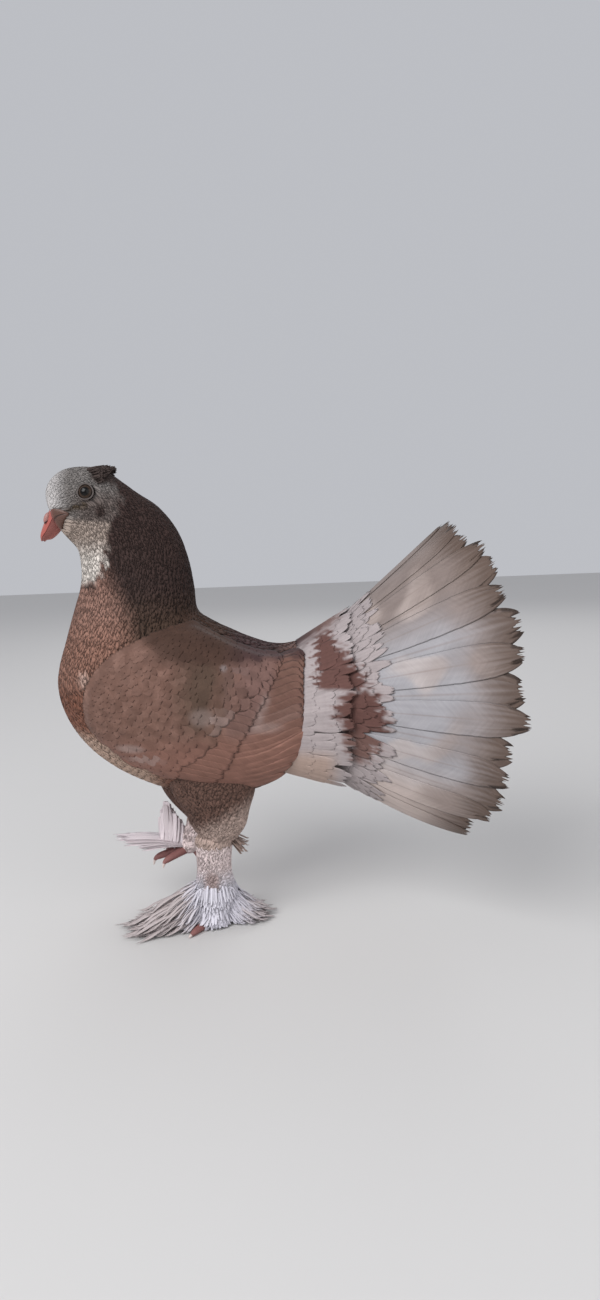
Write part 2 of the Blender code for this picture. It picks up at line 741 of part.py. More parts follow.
def foot_vane(root, heading, length, full, rise, end_z, flat=False):
    """A muff feather: it leaves root along heading and ends at end_z, on the floor if flat."""
    s = np.array([0.0, 0.4, 0.86, 1.0])
    way = np.array([-math.cos(heading), -math.sin(heading), 0.0])
    line = np.asarray(root) + way * (length * s)[:, None]
    run = np.clip(s / (0.86 if flat else 1.0), 0, 1)
    line[:, 2] = root[2] + (end_z - root[2]) * run + rise * np.sin(run * math.pi)
    lateral = np.array([math.sin(heading), -math.cos(heading), 0.0])
    half = feather_width(s, full, 0.3, 0.62)
    across = half[:, None, None] * np.array([-1.0, 1.0])[None, :, None]
    grid = line[:, None] + lateral * across
    normal = unit(np.cross(np.gradient(line, axis=0), lateral))
    normal = normal * np.sign(normal[:, 2:3])
    if flat:
        normal[-2:] = (0.0, 0.0, 1.0)
    return plate(grid, np.broadcast_to(normal[:, None], grid.shape), VANE)


def build_standing_foot():
    cx, cy = FOOT_LEFT
    core = [
        (cx, cy, 0.0, 7.0, 6.6),
        (cx, cy, 6.0, 9.6, 8.4),
        (cx, cy, 13.0, 12.4, 10.0),
        (cx + 0.2, cy - 0.2, 21.4 - GAP, 14.0, 11.0),
    ]
    points, faces = loft(limb_rings(core, 5))
    made = new_object("foot_left", points, faces, (0.80, 0.76, 0.73))
    pieces = []
    for degrees, length in ((10, 38.0), (52, 31.0), (-34, 29.0), (184, 20.0)):
        heading = math.radians(degrees)
        way = np.array([-math.cos(heading), -math.sin(heading), 0.0])
        s = np.array([0.0, 0.5, 0.86, 1.0, 1.14])
        path = np.array([cx, cy, 1.8]) + way * (4.0 + (length - 4.0) * s)[:, None]
        path[:, 2] = (1.9, 1.9, 1.7, 1.6, 0.9)
        pieces.append(toe_parts(path, (3.1, 2.8, 2.3, 1.4, 0.5), True))
    angles, reaches = np.transpose(MUFF_REACH)
    for headings, base, start, share, rise, end_z in (
        (MUFF_LOW, 7.0, 5.0, 1.0, 1.5, 0.3),
        (MUFF_HIGH, 17.5, 7.0, 0.72, 2.5, 5.5),
    ):
        for degrees in headings:
            heading = math.radians(degrees)
            reach = np.interp(degrees, angles, reaches) * share - start
            root = (cx - start * math.cos(heading), cy - start * math.sin(heading), base)
            full = 7.5 if reach > 25 else 5.5
            pieces.append(foot_vane(root, heading, reach, full, rise, end_z, end_z < 1))
    added = [new_object("piece", p, f) for p, f in pieces]
    apply_boolean(made, "UNION", added)
    shade(made, 20)


def build_raised_foot():
    points, faces = loft(limb_rings(FOOT_RIGHT, 4))
    made = new_object("foot_right", points, faces, (0.80, 0.76, 0.73))
    pieces = []
    start = np.array([-14.5, 18.5, 39.6])
    toe = np.array([(0, 0, 0), (-8, 0, -1.5), (-16, 0, -3.4), (-21, 0, -5.0), (-23.6, 0, -6.8), (-24.8, 0, -10.6)])
    for turn, share in ((0.06, 1.0), (0.62, 0.84), (-0.55, 0.86)):
        c, n = math.cos(turn) * share, math.sin(turn) * share
        line = start + np.stack([toe[:, 0] * c, toe[:, 0] * n, toe[:, 2] * share], -1)
        pieces.append(toe_parts(line, (3.0, 2.8, 2.5, 2.1, 1.3, 0.5), False))
    hind = start + np.array([(1, 0, 0), (4, 0, -4), (5.5, 0, -8.5), (5.0, 0, -12), (4.0, 0, -14.5)])
    pieces.append(toe_parts(hind, (2.9, 2.6, 2.2, 1.3, 0.5), False))
    muff = (
        (4, 56, 8.0, 2.0, 48.5), (-14, 54, 8.0, 2.0, 45.5), (-32, 48, 8.0, 2.0, 41.5),
        (-52, 39, 7.5, 2.0, 37.5), (-76, 29, 7.0, 2.0, 34.0), (22, 34, 7.0, 2.0, 43.0),
    )
    for k, (degrees, length, full, rise, end_z) in enumerate(muff):
        root = start + np.array([2.0, 0.0, 0.9 - 0.37 * k])
        pieces.append(foot_vane(root, math.radians(degrees), length, full, rise, end_z))
    for k, (degrees, length, end_z) in enumerate(((-52, 9.5, 69.0), (-26, 10.5, 64.0), (-80, 11.0, 61.0))):
        root = start + np.array([-7.6 - 0.7 * k, 0.6 + 0.5 * k, 0.6 - 0.3 * k])
        pieces.append(foot_vane(root, math.radians(degrees), length, 6.6, 0.0, end_z))
    added = [new_object("piece", p, f) for p, f in pieces]
    apply_boolean(made, "UNION", added)
    shade(made, 20)


def build_legs():
    build_thigh("thigh_left", THIGH_LEFT, -1)
    build_thigh("thigh_right", THIGH_RIGHT, 1)
    for name, rows in (("shank_left", SHANK_LEFT), ("shank_right", SHANK_RIGHT)):
        points, faces = loft(limb_rings(rows, 7))
        shade(new_object(name, points, faces, (0.80, 0.76, 0.73)))
    build_standing_foot()
    build_raised_foot()


def main():
    for spare in list(bpy.data.objects):
        bpy.data.objects.remove(spare)
    build_head()
    build_bill()
    neck_gap = gap_stations(HEAD_END)
    torso_gap = gap_stations(NECK_END)
    body_node("neck", HEAD_END + neck_gap, NECK_END - torso_gap, 11, (0.10, 0.06, 0.055))
    body_node("torso", NECK_END + torso_gap, TORSO_END - gap_stations(TORSO_END), 17, (0.30, 0.15, 0.11))
    build_rump()
    build_fan()
    build_wings()
    build_legs()


main()
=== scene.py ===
"""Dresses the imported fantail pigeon: skin, feathers, eyes, bill and feet, in soft studio light.

Sizes are in millimetres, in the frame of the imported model: the bird faces -X, its left side
is -Y, up is +Z and the standing ankle is over the origin. They become metres in a mesh.
"""

import logging
import math
from collections.abc import Callable
from dataclasses import dataclass
from enum import Enum

import bpy
import numpy as np
from mathutils import Matrix, Vector
from numpy.typing import NDArray


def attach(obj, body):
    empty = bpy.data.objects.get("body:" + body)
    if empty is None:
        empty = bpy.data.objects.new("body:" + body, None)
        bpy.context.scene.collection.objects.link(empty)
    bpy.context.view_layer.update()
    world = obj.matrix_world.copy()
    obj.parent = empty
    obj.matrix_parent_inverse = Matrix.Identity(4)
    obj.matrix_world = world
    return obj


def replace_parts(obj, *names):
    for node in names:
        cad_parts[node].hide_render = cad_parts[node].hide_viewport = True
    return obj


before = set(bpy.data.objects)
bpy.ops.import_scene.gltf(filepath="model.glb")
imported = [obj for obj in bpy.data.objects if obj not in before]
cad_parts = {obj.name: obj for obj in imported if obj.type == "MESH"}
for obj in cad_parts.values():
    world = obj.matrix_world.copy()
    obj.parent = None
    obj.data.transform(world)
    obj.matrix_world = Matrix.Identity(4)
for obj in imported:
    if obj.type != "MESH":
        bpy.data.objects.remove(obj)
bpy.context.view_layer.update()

logging.basicConfig(level=logging.INFO, format="%(message)s")
log = logging.getLogger("pigeon")

Floats = NDArray[np.float64]
Faces = NDArray[np.int64]
Flags = NDArray[np.bool_]
Dice = np.random.Generator
Piece = bpy.types.Object
Material = bpy.types.Material
Socket = bpy.types.NodeSocket
Span = tuple[float, float]
Place = tuple[float, float, float]
Rows = tuple[tuple[float, ...], ...]
MM = 0.001
PLUMAGE = "Plumage"  # the colour attribute that skin and feathers share
VANE_MAP = "Vane"  # a feather's own map: decimetres across it and along it
BAKE_MAP = "OFBake"
BAKE_PATCH = 0.003  # side of the patch that a small feather takes on the bake map

# Body plan: where each section of the plumage meets the top line and the under line of
# the side view, as x, z, x, z, then its half width and how far the widest place is raised.
BODY = np.array(
    [
        (-83.3, 258.7, -78.0, 245.4, 4.6, 0.00),  # root of the bill
        (-84.8, 264.5, -76.2, 243.3, 7.2, 0.10),
        (-84.2, 271.0, -74.2, 241.0, 9.4, 0.20),  # forehead
        (-80.3, 276.8, -72.2, 238.6, 11.0, 0.25),
        (-73.6, 281.0, -70.2, 236.2, 12.0, 0.28),
        (-65.0, 282.4, -68.4, 233.2, 12.8, 0.28),  # crown
        (-56.3, 281.8, -67.6, 229.0, 13.6, 0.25),
        (-48.0, 279.0, -67.4, 224.0, 14.8, 0.18),
        (-40.3, 273.2, -67.4, 217.8, 16.8, 0.10),  # nape and throat
        (-31.0, 266.0, -69.0, 209.0, 19.4, 0.00),
        (-18.8, 257.0, -72.2, 200.5, 22.5, -0.05),
        (-8.7, 243.0, -75.8, 190.5, 26.4, -0.05),
        (-3.2, 226.5, -80.0, 178.0, 30.8, -0.05),
        (-0.6, 209.5, -84.2, 165.5, 35.2, 0.00),  # foot of the neck
        (0.6, 196.0, -86.2, 153.0, 38.8, 0.05),
        (8.5, 189.5, -84.0, 138.5, 41.2, 0.10),  # shoulders and breast
        (20.0, 183.5, -76.8, 123.0, 42.2, 0.12),
        (32.0, 178.0, -64.5, 108.5, 42.4, 0.12),
        (43.0, 174.3, -46.0, 95.5, 41.8, 0.12),
        (51.0, 173.6, -22.0, 85.5, 39.6, 0.10),  # back and belly
        (57.0, 174.5, 8.0, 80.5, 36.4, 0.08),
        (60.5, 175.8, 38.0, 86.0, 33.4, 0.04),
        (62.1, 176.3, 67.2, 104.5, 31.0, 0.00),  # end of the rump
    ]
)
BODY_END = 22.0


class Side(Enum):
    """The bird's sides, as the sign that v has on them."""

    LEFT = 1
    RIGHT = -1

    @property
    def word(self) -> str:
        """The side's name."""
        return self.name.lower()


@dataclass(frozen=True)
class Tint:
    """A colour as red, green and blue from 0 to 255, as a screen shows it."""

    red: float
    green: float
    blue: float

    @property
    def linear(self) -> Floats:
        """The same colour as linear light from 0 to 1."""
        c = np.array([self.red, self.green, self.blue]) / 255.0
        return np.where(c <= 0.04045, c / 12.92, ((c + 0.055) / 1.055) ** 2.4)


class Hue(Enum):
    """The colours of this bird's plumage and bare parts."""

    FACE = Tint(190, 186, 185)
    CROWN = Tint(122, 117, 114)
    CHEEK = Tint(100, 90, 86)
    LORE = Tint(74, 62, 48)
    THROAT = Tint(214, 206, 198)
    CREST = Tint(64, 54, 51)
    EAR = Tint(60, 48, 45)
    GAPE = Tint(58, 45, 36)
    NECK_DARK = Tint(60, 46, 43)
    NECK_OLIVE = Tint(72, 56, 47)
    CHESTNUT = Tint(146, 112, 100)
    BREAST = Tint(142, 105, 91)
    BREAST_LOW = Tint(124, 84, 69)
    SPOT = Tint(184, 156, 144)
    BELLY = Tint(176, 150, 134)
    BACK = Tint(71, 52, 44)
    BACK_PURPLE = Tint(69, 50, 50)
    WING_LIGHT = Tint(135, 105, 94)
    WING_MID = Tint(108, 81, 71)
    WING_DARK = Tint(88, 65, 57)
    WING_OLIVE = Tint(78, 62, 52)
    WING_ROSY = Tint(114, 88, 82)
    WING_REAR = Tint(108, 79, 70)
    WING_LOW = Tint(126, 92, 81)
    WING_PALE = Tint(164, 147, 142)
    COVERT = Tint(96, 68, 63)
    COVERT_ROSY = Tint(112, 86, 80)
    MUFF = Tint(208, 205, 214)
    # white down, painted greyer than the muff's white as painted shade inside the fan
    DOWN = Tint(176, 170, 172)
    VENT = Tint(150, 130, 122)
    MUFF_END = Tint(182, 169, 165)
    THROAT_HIGH = Tint(158, 143, 133)
    COVER_WHITE = Tint(162, 152, 152)
    TAIL_WHITE = Tint(158, 156, 160)
    TAIL_TAN = Tint(128, 114, 108)
    TAIL_TIP = Tint(84, 68, 59)
    TAIL_CREAM = Tint(188, 174, 168)
    THIGH = Tint(100, 76, 67)
    THIGH_END = Tint(180, 158, 148)
    SHANK = Tint(228, 210, 208)
    PINK = Tint(176, 152, 147)
    # a painted highlight: the lighter tint along the bill's ridge
    BILL = Tint(160, 100, 94)
    BILL_SIDE = Tint(160, 84, 76)
    # the lower half's ground: partly its own darker tone, partly painted shade
    BILL_LOW = Tint(116, 66, 60)
    BILL_TIP = Tint(146, 94, 88)
    CERE = Tint(156, 110, 104)
    # the nostrils' openings: near black, painted shade inside them
    NOSTRIL = Tint(56, 24, 22)
    MOUTH = Tint(120, 68, 62)
    MOUTH_REAR = Tint(88, 62, 53)
    # the crease of the mouth: partly its own dark line, partly painted shade
    CREASE = Tint(46, 28, 25)
    PUPIL = Tint(6, 5, 5)
    IRIS_IN = Tint(34, 24, 18)
    IRIS_OUT = Tint(56, 42, 32)
    EYE_RIM = Tint(22, 17, 16)

    @property
    def linear(self) -> Floats:
        """The colour as linear light."""
        return self.value.linear


Colour = Tint | Hue | Floats


def light(colour: Colour) -> Floats:
    """A tint as linear light; an array is linear light already."""
    return getattr(colour, "linear", colour)


def mix(a: Colour, b: Colour, share: Floats | float) -> Floats:
    """Colour a turned into b by a share at each place."""
    share = np.asarray(share, float)[..., None]
    return light(a) * (1 - share) + light(b) * share


def cover(colour: Colour, *layers: tuple[Colour, Floats | float]) -> Floats:
    """A colour covered by others in turn, each with its share at each place."""
    for layer, share in layers:
        colour = mix(colour, layer, share)
    return colour


def vary(colour: Floats, amount: float, rng: Dice) -> Floats:
    """Colours made a little brighter or darker, each by its own chance."""
    return colour * (1 + amount * rng.normal(size=colour.shape[:-1] + (1,)))


def flock(colour: Colour, count: int, amount: float, rng: Dice) -> Floats:
    """A colour for each of a number of feathers, a little uneven."""
    return vary(np.tile(light(colour), (count, 1)), amount, rng)


def unit(v: Floats) -> Floats:
    """Vectors of length one, along the last axis."""
    return v / np.linalg.norm(v, axis=-1, keepdims=True)


def dice(seed: int) -> Dice:
    """Random numbers from a seed."""
    return np.random.default_rng(seed)


def turns(count: int) -> Floats:
    """Angles in even steps once round, from 0."""
    return np.linspace(0, 2 * math.pi, count, endpoint=False)


def together(u: Floats, v: Floats) -> tuple[Floats, ...]:
    """Both as real numbers in arrays of one shape."""
    return np.broadcast_arrays(np.asarray(u, float), np.asarray(v, float))


def smooth(low: float, high: float, x: Floats) -> Floats:
    """0 below low, 1 above high, and a smooth S between them: 3t^2 - 2t^3."""
    t = np.clip((np.asarray(x, float) - low) / (high - low), 0.0, 1.0)
    return t * t * (3 - 2 * t)


def spline(rows: Floats, t: Floats) -> Floats:
    """A Catmull-Rom curve.

    Args:
        rows: The points that it runs through, one row each.
        t: Where it is read, counted in rows.

    Returns:
        A row for each t: the cubic of the row before it and the three round it.
    """
    t = np.asarray(t, float)
    first = np.clip(np.floor(t).astype(int), 0, len(rows) - 2)
    f = (t - first)[..., None]
    padded = np.vstack([2 * rows[0] - rows[1], rows, 2 * rows[-1] - rows[-2]])
    a, b, c, d = (padded[first + k] for k in range(4))
    square, cube = 2 * a - 5 * b + 4 * c - d, 3 * b - a - 3 * c + d
    return 0.5 * (2 * b + (c - a) * f + square * f**2 + cube * f**3)


def ripple(x: Floats, y: Floats, size: float, seed: int) -> Floats:
    """Soft random patches, as a mean of six sine waves.

    Args:
        x: One measure of the place.
        y: The other.
        size: About how far a patch reaches.
        seed: Seed of the waves' turns, lengths and starts.

    Returns:
        A value from -1 to 1 for each place.
    """
    rng = dice(seed)
    total = np.zeros(np.broadcast(x, y).shape)
    for _ in range(6):
        turn = rng.uniform(0, 2 * math.pi)
        wave = 2 * math.pi / (size * rng.uniform(0.7, 1.6))
        total = total + np.sin(wave * (x * math.cos(turn) + y * math.sin(turn)) + rng.uniform(0, 6.3))
    return total / 3.0


# Surfaces that feathers grow on


class Surface:
    """A surface of two parameters: u runs the way that feathers lie, v runs round it."""

    inside = (-math.inf, math.inf)  # where u is kept while changes by it are worked out

    def point(self, u: Floats, v: Floats) -> Floats:
        """Points of the surface itself."""
        raise NotImplementedError

    def rise(self, u: Floats, v: Floats) -> Floats:
        """How far above the plain surface the coat starts."""
        return np.zeros(np.broadcast(u, v).shape)

    def bake_place(self, u: Floats, v: Floats) -> Floats:
        """The place of a root on an unwrap of the surface, from 0 to 1 both ways."""
        raise NotImplementedError

    def tangents(self, u: Floats, v: Floats) -> tuple[Floats, Floats, Floats]:
        """Change of place by u and by v, and the outward normal, by central differences."""
        step = 1e-3
        u = np.clip(u, *self.inside)
        along = (self.point(u + step, v) - self.point(u - step, v)) / (2 * step)
        round_way = (self.point(u, v + step) - self.point(u, v - step)) / (2 * step)
        return along, round_way, unit(np.cross(round_way, along))

    def stretch(self, u: Floats, v: Floats) -> Floats:
        """Millimetres for each whole step of u."""
        return np.linalg.norm(self.tangents(u, v)[0], axis=-1)

    def place(self, u: Floats, v: Floats, height: Floats) -> Floats:
        """Points at a height over the coat's ground, along the normal."""
        u, v, height = np.broadcast_arrays(u, v, height)
        normal = self.tangents(u, v)[2]
        return self.point(u, v) + normal * (self.rise(u, v) + height)[..., None]


class BodySurface(Surface):
    """The plumage of head, neck and trunk: u is a station of BODY, v the angle down the left side."""

    inside = (-0.39, BODY_END + 0.29)

    def point(self, u: Floats, v: Floats) -> Floats:
        """Sections are ellipses: middle + half height * cos v, half width * sin v to the left."""
        u, v = together(u, v)
        row = spline(BODY, np.clip(u, -0.4, BODY_END + 0.3))
        middle, half = (row[..., 0:2] + row[..., 2:4]) / 2, (row[..., 0:2] - row[..., 2:4]) / 2
        up, out = np.cos(v), np.sin(v)
        y = -row[..., 4] * out * (1 + row[..., 5] * up)
        return np.stack([middle[..., 0] + half[..., 0] * up, y, middle[..., 1] + half[..., 1] * up], -1)

    def bake_place(self, u: Floats, v: Floats) -> Floats:
        """Station along one side, angle round the body along the other."""
        return np.stack([0.02 + 0.96 * u / BODY_END, 0.5 + 0.48 * v / math.pi], -1)


@dataclass(frozen=True)
class WingPlan:
    """The patch of body that a folded wing covers, and how thick the wing is over it."""

    front: float = 14.15
    rear: float = 21.9
    top: float = math.radians(27)
    low: float = math.radians(134)
    thickness: float = 5.2
    edge: float = 0.9
    clear: float = 0.9
    sunk: float = 0.25

    def share_down(self, v: Floats) -> Floats:
        """Share of the way from the wing's top edge to its low one."""
        return (np.abs(v) - self.top) / (self.low - self.top)

    def front_station(self, down: Floats) -> Floats:
        """Station of the wing's front edge, further back at its top and its lower end."""
        spread = 2 * down - 1
        return self.front + 0.5 * np.clip(-spread, 0, 1) ** 2 + 1.7 * np.clip(spread, 0, 1) ** 2.5

    def height(self, u: Floats, v: Floats) -> Floats:
        """Height of the wing's own body over the plumage: thin at its edges and its rear."""
        down = np.clip(self.share_down(v), 0, 1)
        front = self.front_station(down)
        along = np.clip((u - front) / (self.rear - front), 0, 1)
        edge = np.clip(1 - np.abs(2 * down - 1) ** 3, 0, 1) ** 0.7
        shape = edge * np.clip(along / 0.16, 0, 1) ** 0.5
        shape = shape * (1 - 0.62 * np.clip((along - 0.45) / 0.55, 0, 1))
        return self.clear + self.edge + (self.thickness - self.edge) * shape

    def shown(self, u: Floats, v: Floats) -> Floats:
        """The height, sunk at the front and the top, where the body's feathers meet it."""
        down = self.share_down(v)
        front = self.front_station(np.clip(down, 0, 1))
        rest = smooth(-0.30, 0.45, u - front) * smooth(-0.05, 0.07, down)
        return self.height(u, v) * rest + self.sunk * (1 - rest)


class WingSurface(BodySurface):
    """The outer face of the folded wings, over the body's own plumage."""

    plan = WingPlan()

    def rise(self, u: Floats, v: Floats) -> Floats:
        """The wing's own height."""
        return self.plan.shown(u, v)


class LimbSurface(Surface):
    """A leg: u counts rows from the top down, v goes round. Rows are x, y, z, half x, half y."""

    def __init__(self, rows: Rows, sunk: float = 0.0) -> None:
        """Keeps the rows of the limb, drawn in by a depth."""
        self.rows = np.array(rows, float)
        self.rows[:, 3:] -= sunk
        self.inside = (0.01, len(rows) - 1.01)

    def point(self, u: Floats, v: Floats) -> Floats:
        """Sections are level ellipses: centre + half x * cos v, centre - half y * sin v."""
        u, v = together(u, v)
        row = spline(self.rows, np.clip(u, 0, len(self.rows) - 1))
        x = row[..., 0] + row[..., 3] * np.cos(v)
        y = row[..., 1] - row[..., 4] * np.sin(v)
        return np.stack([x, y, row[..., 2]], -1)

    def bake_place(self, u: Floats, v: Floats) -> Floats:
        """Height along one side, angle round the limb along the other."""
        return np.stack([0.05 + 0.9 * u / len(self.rows), 0.5 + 0.48 * np.sin(v / 2)], -1)


@dataclass(frozen=True)
class FanPlan:
    """The tail's cone: its point in the rump, how wide it opens and how long its feathers are."""

    point: Place = (30.0, 0.0, 138.0)
    rise: float = math.radians(3.0)
    half_height: float = math.radians(38.0)
    half_width: float = math.radians(34.0)
    root: float = 50.0
    step: float = math.radians(18.5)
    side_feathers: int = 8
    top_length: float = 160.0
    side_length: float = 181.0
    low_length: float = 156.0
    droop: float = 0.45

    def reach(self, turn: Floats) -> Floats:
        """Length of the feathers, longer at the sides of the fan than at its top."""
        turn = np.abs(turn)
        side = np.where(turn < math.pi / 2, np.sin(turn), 1.0)
        past = np.clip(turn - math.pi / 2, 0, None) / (self.step * self.side_feathers - math.pi / 2)
        length = self.top_length + (self.side_length - self.top_length) * side
        return length + (self.low_length - self.side_length) * past**0.75


class FanSurface(Surface):
    """The tail fan: u is the distance from the cone's point, v the turn round it, 0 on top."""

    plan = FanPlan()

    def point(self, u: Floats, v: Floats) -> Floats:
        """The point plus u times the way at v, which opens wider below near its root."""
        u, v = together(u, v)
        plan = self.plan
        near = np.clip((150.0 - u) / 100.0, 0, 1)
        droop = 1 + plan.droop * near * np.clip(-np.cos(v) * 1.4, 0, 1)
        tall = math.tan(plan.half_height) * droop * np.cos(v)
        wide = math.tan(plan.half_width) * np.sin(v)
        axis = np.array([math.cos(plan.rise), 0.0, math.sin(plan.rise)])
        up = np.array([-math.sin(plan.rise), 0.0, math.cos(plan.rise)])
        left = np.array([0.0, -1.0, 0.0])
        way = unit(axis + tall[..., None] * up + wide[..., None] * left)
        return np.array(plan.point) + way * u[..., None]

    def bake_place(self, u: Floats, v: Floats) -> Floats:
        """Distance along one side, turn along the other."""
        return np.stack([0.05 + 0.9 * (u - 45) / 140, 0.5 + 0.46 * v / math.pi], -1)


class RumpSurface(Surface):
    """The slope from the end of the rump over the roots of the fan: u from 0 to 1, v the turn."""

    station = 21.4
    reach = 82.0
    over = 1.9

    def point(self, u: Floats, v: Floats) -> Floats:
        """Straight from the body to the fan at each turn."""
        u, v = together(u, v)
        start = BodySurface().point(np.full(u.shape, self.station), v)
        end = FanSurface().place(np.full(u.shape, self.reach), v, np.full(u.shape, self.over))
        return start + (end - start) * u[..., None]

    def bake_place(self, u: Floats, v: Floats) -> Floats:
        """Just before the fan's own places."""
        return np.stack([0.02 + 0.1 * u, 0.5 + 0.46 * v / math.pi], -1)


class DownSurface(Surface):
    """The dome that closes the rump inside the fan: u from its rim, 0, to its tip, 1."""

    inside = (0.002, 0.995)
    centre = (64.5, 137.5)
    radii = (29.5, 36.0)
    depth = 15.0

    def point(self, u: Floats, v: Floats) -> Floats:
        """Rings that shrink by cos(90 u) degrees while they move back by its sine."""
        u, v = together(np.clip(u, 0.0, 0.997), v)
        ring, back = np.cos(u * math.pi / 2), np.sin(u * math.pi / 2)
        y = -self.radii[0] * ring * np.sin(v)
        z = self.centre[1] + self.radii[1] * ring * np.cos(v)
        return np.stack([self.centre[0] + self.depth * back, y, z], -1)

    def bake_place(self, u: Floats, v: Floats) -> Floats:
        """A disc, from its rim to its middle."""
        far = 0.48 * (1 - u)
        return np.stack([0.5 + far * np.cos(v), 0.5 + far * np.sin(v)], -1)


# Mesh making


def new_mesh(
    name: str,
    points: Floats,
    quads: Faces,
    material: Material,
    colours: Floats | None = None,
    maps: dict[str, Floats] | None = None,
    flat: Flags | None = None,
) -> Piece:
    """A smooth mesh object from whole arrays.

    Args:
        name: The piece's name.
        points: Corners in millimetres, one row each.
        quads: Four corner numbers for each face; the last repeats the third in a triangle.
        material: What it is made of.
        colours: Linear colours for each corner, kept as the plumage attribute.
        maps: UV maps by name, with a place for each corner.
        flat: Faces shaded flat, so that the smooth ones beside them keep their own normals.

    Returns:
        The object, linked, riding on the root body.
    """
    if not np.isfinite(points).all():
        raise ValueError(f"{name} has corners without a place")
    triangle = quads[:, 2] == quads[:, 3]
    counts = np.where(triangle, 3, 4)
    loops = quads[np.stack([np.ones_like(triangle)] * 3 + [~triangle], -1)]
    starts = np.concatenate([[0], np.cumsum(counts)[:-1]])
    mesh = bpy.data.meshes.new(name)
    mesh.vertices.add(len(points))
    mesh.vertices.foreach_set("co", (points * MM).astype(np.float32).ravel())
    mesh.loops.add(len(loops))
    mesh.loops.foreach_set("vertex_index", loops.astype(np.int32))
    mesh.polygons.add(len(quads))
    mesh.polygons.foreach_set("loop_start", starts.astype(np.int32))
    mesh.polygons.foreach_set("use_smooth", np.ones(len(quads), bool) if flat is None else ~flat)
    mesh.update(calc_edges=True)
    if colours is not None:
        rgba = np.ones((len(points), 4), np.float32)
        rgba[:, :3] = np.clip(colours, 0, 1)
        mesh.color_attributes.new(PLUMAGE, "FLOAT_COLOR", "POINT").data.foreach_set("color", rgba.ravel())
    for map_name, places in (maps or {}).items():
        layer = mesh.uv_layers.new(name=map_name)
        layer.data.foreach_set("uv", places[loops].astype(np.float32).ravel())
    mesh.materials.append(material)
    made = bpy.data.objects.new(name, mesh)
    bpy.context.scene.collection.objects.link(made)
    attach(made, "root")
    return made


def grid_quads(rows: int, columns: int, closed: bool = False) -> Faces:
    """Faces of a grid numbered row by row; closed joins its last column to its first."""
    last = columns if closed else columns - 1
    k, j = np.meshgrid(np.arange(rows - 1), np.arange(last), indexing="ij")
    n = (j + 1) % columns
    faces = [k * columns + j, k * columns + n, (k + 1) * columns + n, (k + 1) * columns + j]
    return np.stack(faces, -1).reshape(-1, 4)


def closed_tube(rings: Floats) -> tuple[Floats, Faces]:
    """Corners and faces of a skin over rings by points by three, each end a fan on its middle."""
    count, around = rings.shape[:2]
    points = np.vstack([rings.reshape(-1, 3), rings[0].mean(0), rings[-1].mean(0)])
    j = np.arange(around)
    n = (j + 1) % around
    first, last = np.full(around, count * around), np.full(around, count * around + 1)
    base = (count - 1) * around
    start = np.stack([n, j, first, first], -1)
    end = np.stack([base + j, base + n, last, last], -1)
    return points, np.vstack([grid_quads(count, around, True), start, end])


def outward(points: Floats, quads: Faces, middle: Floats) -> Faces:
    """The faces, turned round where their normals sum up towards the middle."""
    corner = points[quads]
    normals = np.cross(corner[:, 1] - corner[:, 0], corner[:, 2] - corner[:, 0])
    inward = (normals * (corner.mean(1) - middle)).sum() < 0
    return quads[:, [1, 0, 3, 2]] if inward else quads


def tube_mesh(
    name: str, rings: Floats, material: Material, colours: Floats | None = None
) -> Piece:
    """A closed skin over rings of equal count.

    Args:
        name: The piece's name.
        rings: Rings by points by three.
        material: What it is made of.
        colours: Rings by points by three linear colours.

    Returns:
        The object.
    """
    points, quads = closed_tube(rings)
    quads = outward(points, quads, rings.reshape(-1, 3).mean(0))
    if colours is not None:
        colours = np.vstack([colours.reshape(-1, 3), colours[0].mean(0), colours[-1].mean(0)])
    return new_mesh(name, points, quads, material, colours)


@dataclass(frozen=True)
class Vane:
    """The form that the feathers of one batch share."""

    rows: int = 5
    columns: int = 3
    quill: float = 0.5
    widest: float = 0.5
    thickness: float = 0.08
    camber: float = 0.02
    ragged: float = 0.06
    sway: float = 1.0
    tuck: float = 0.0
    point: float = 0.5

    def shares(self) -> Floats:
        """Shares of the length at which the rows lie, closer together at the tip."""
        t = np.linspace(0, 1, self.rows)
        return t * (1.35 - 0.35 * t)

    def width(self, s: Floats) -> Floats:
        """Half width at share s: a narrow quill, a sine rise, then a round end."""
        rise = np.clip(s / self.widest, 0, 1)
        rise = self.quill + (1 - self.quill) * np.sin(rise * math.pi / 2) ** 0.8
        past = np.clip((s - self.widest) / (1.02 - self.widest), 0, 1)
        return rise * (1 - past**2.2) ** self.point

    def shortened(self, s: Floats, count: int, rng: Dice) -> Floats:
        """How far the ragged end falls short, by chance for each column and as s squared."""
        return self.ragged * rng.uniform(0, 1, (count, 1, self.columns)) * s**2


FINE = Vane(rows=4, widest=0.4)
TRUNK = Vane(widest=0.45, tuck=0.05)
CREST = Vane(rows=6, widest=0.4, thickness=0.14, point=0.7)
WING_TIER = Vane(16, 9, widest=0.6, thickness=0.2, ragged=0.03)
PRIMARY = Vane(16, 9, widest=0.6, thickness=0.45, camber=0.05, ragged=0.02)
WING_COVERT = Vane(8, 7, quill=0.4, thickness=0.04, camber=0.01, tuck=0.06)
TAIL_FLIGHT = Vane(44, 25, 0.08, 0.80, thickness=0.2, camber=0.01, ragged=0.045, sway=0.3)
TAIL_COVERT = Vane(14, 7, 0.35, 0.6, thickness=0.05, camber=0.01, ragged=0.05, sway=0.3, tuck=0.08)
DOWN = Vane(rows=7, quill=0.4, thickness=0.1, camber=0.08, ragged=0.25, point=1.0)
MUFF = Vane(16, 7, quill=0.3, widest=0.62, thickness=0.2, camber=0.05, ragged=0.12)
FLUFFY = Vane(10, 5, quill=0.3, widest=0.55, thickness=0.15, camber=0.12, ragged=0.2, point=0.8)


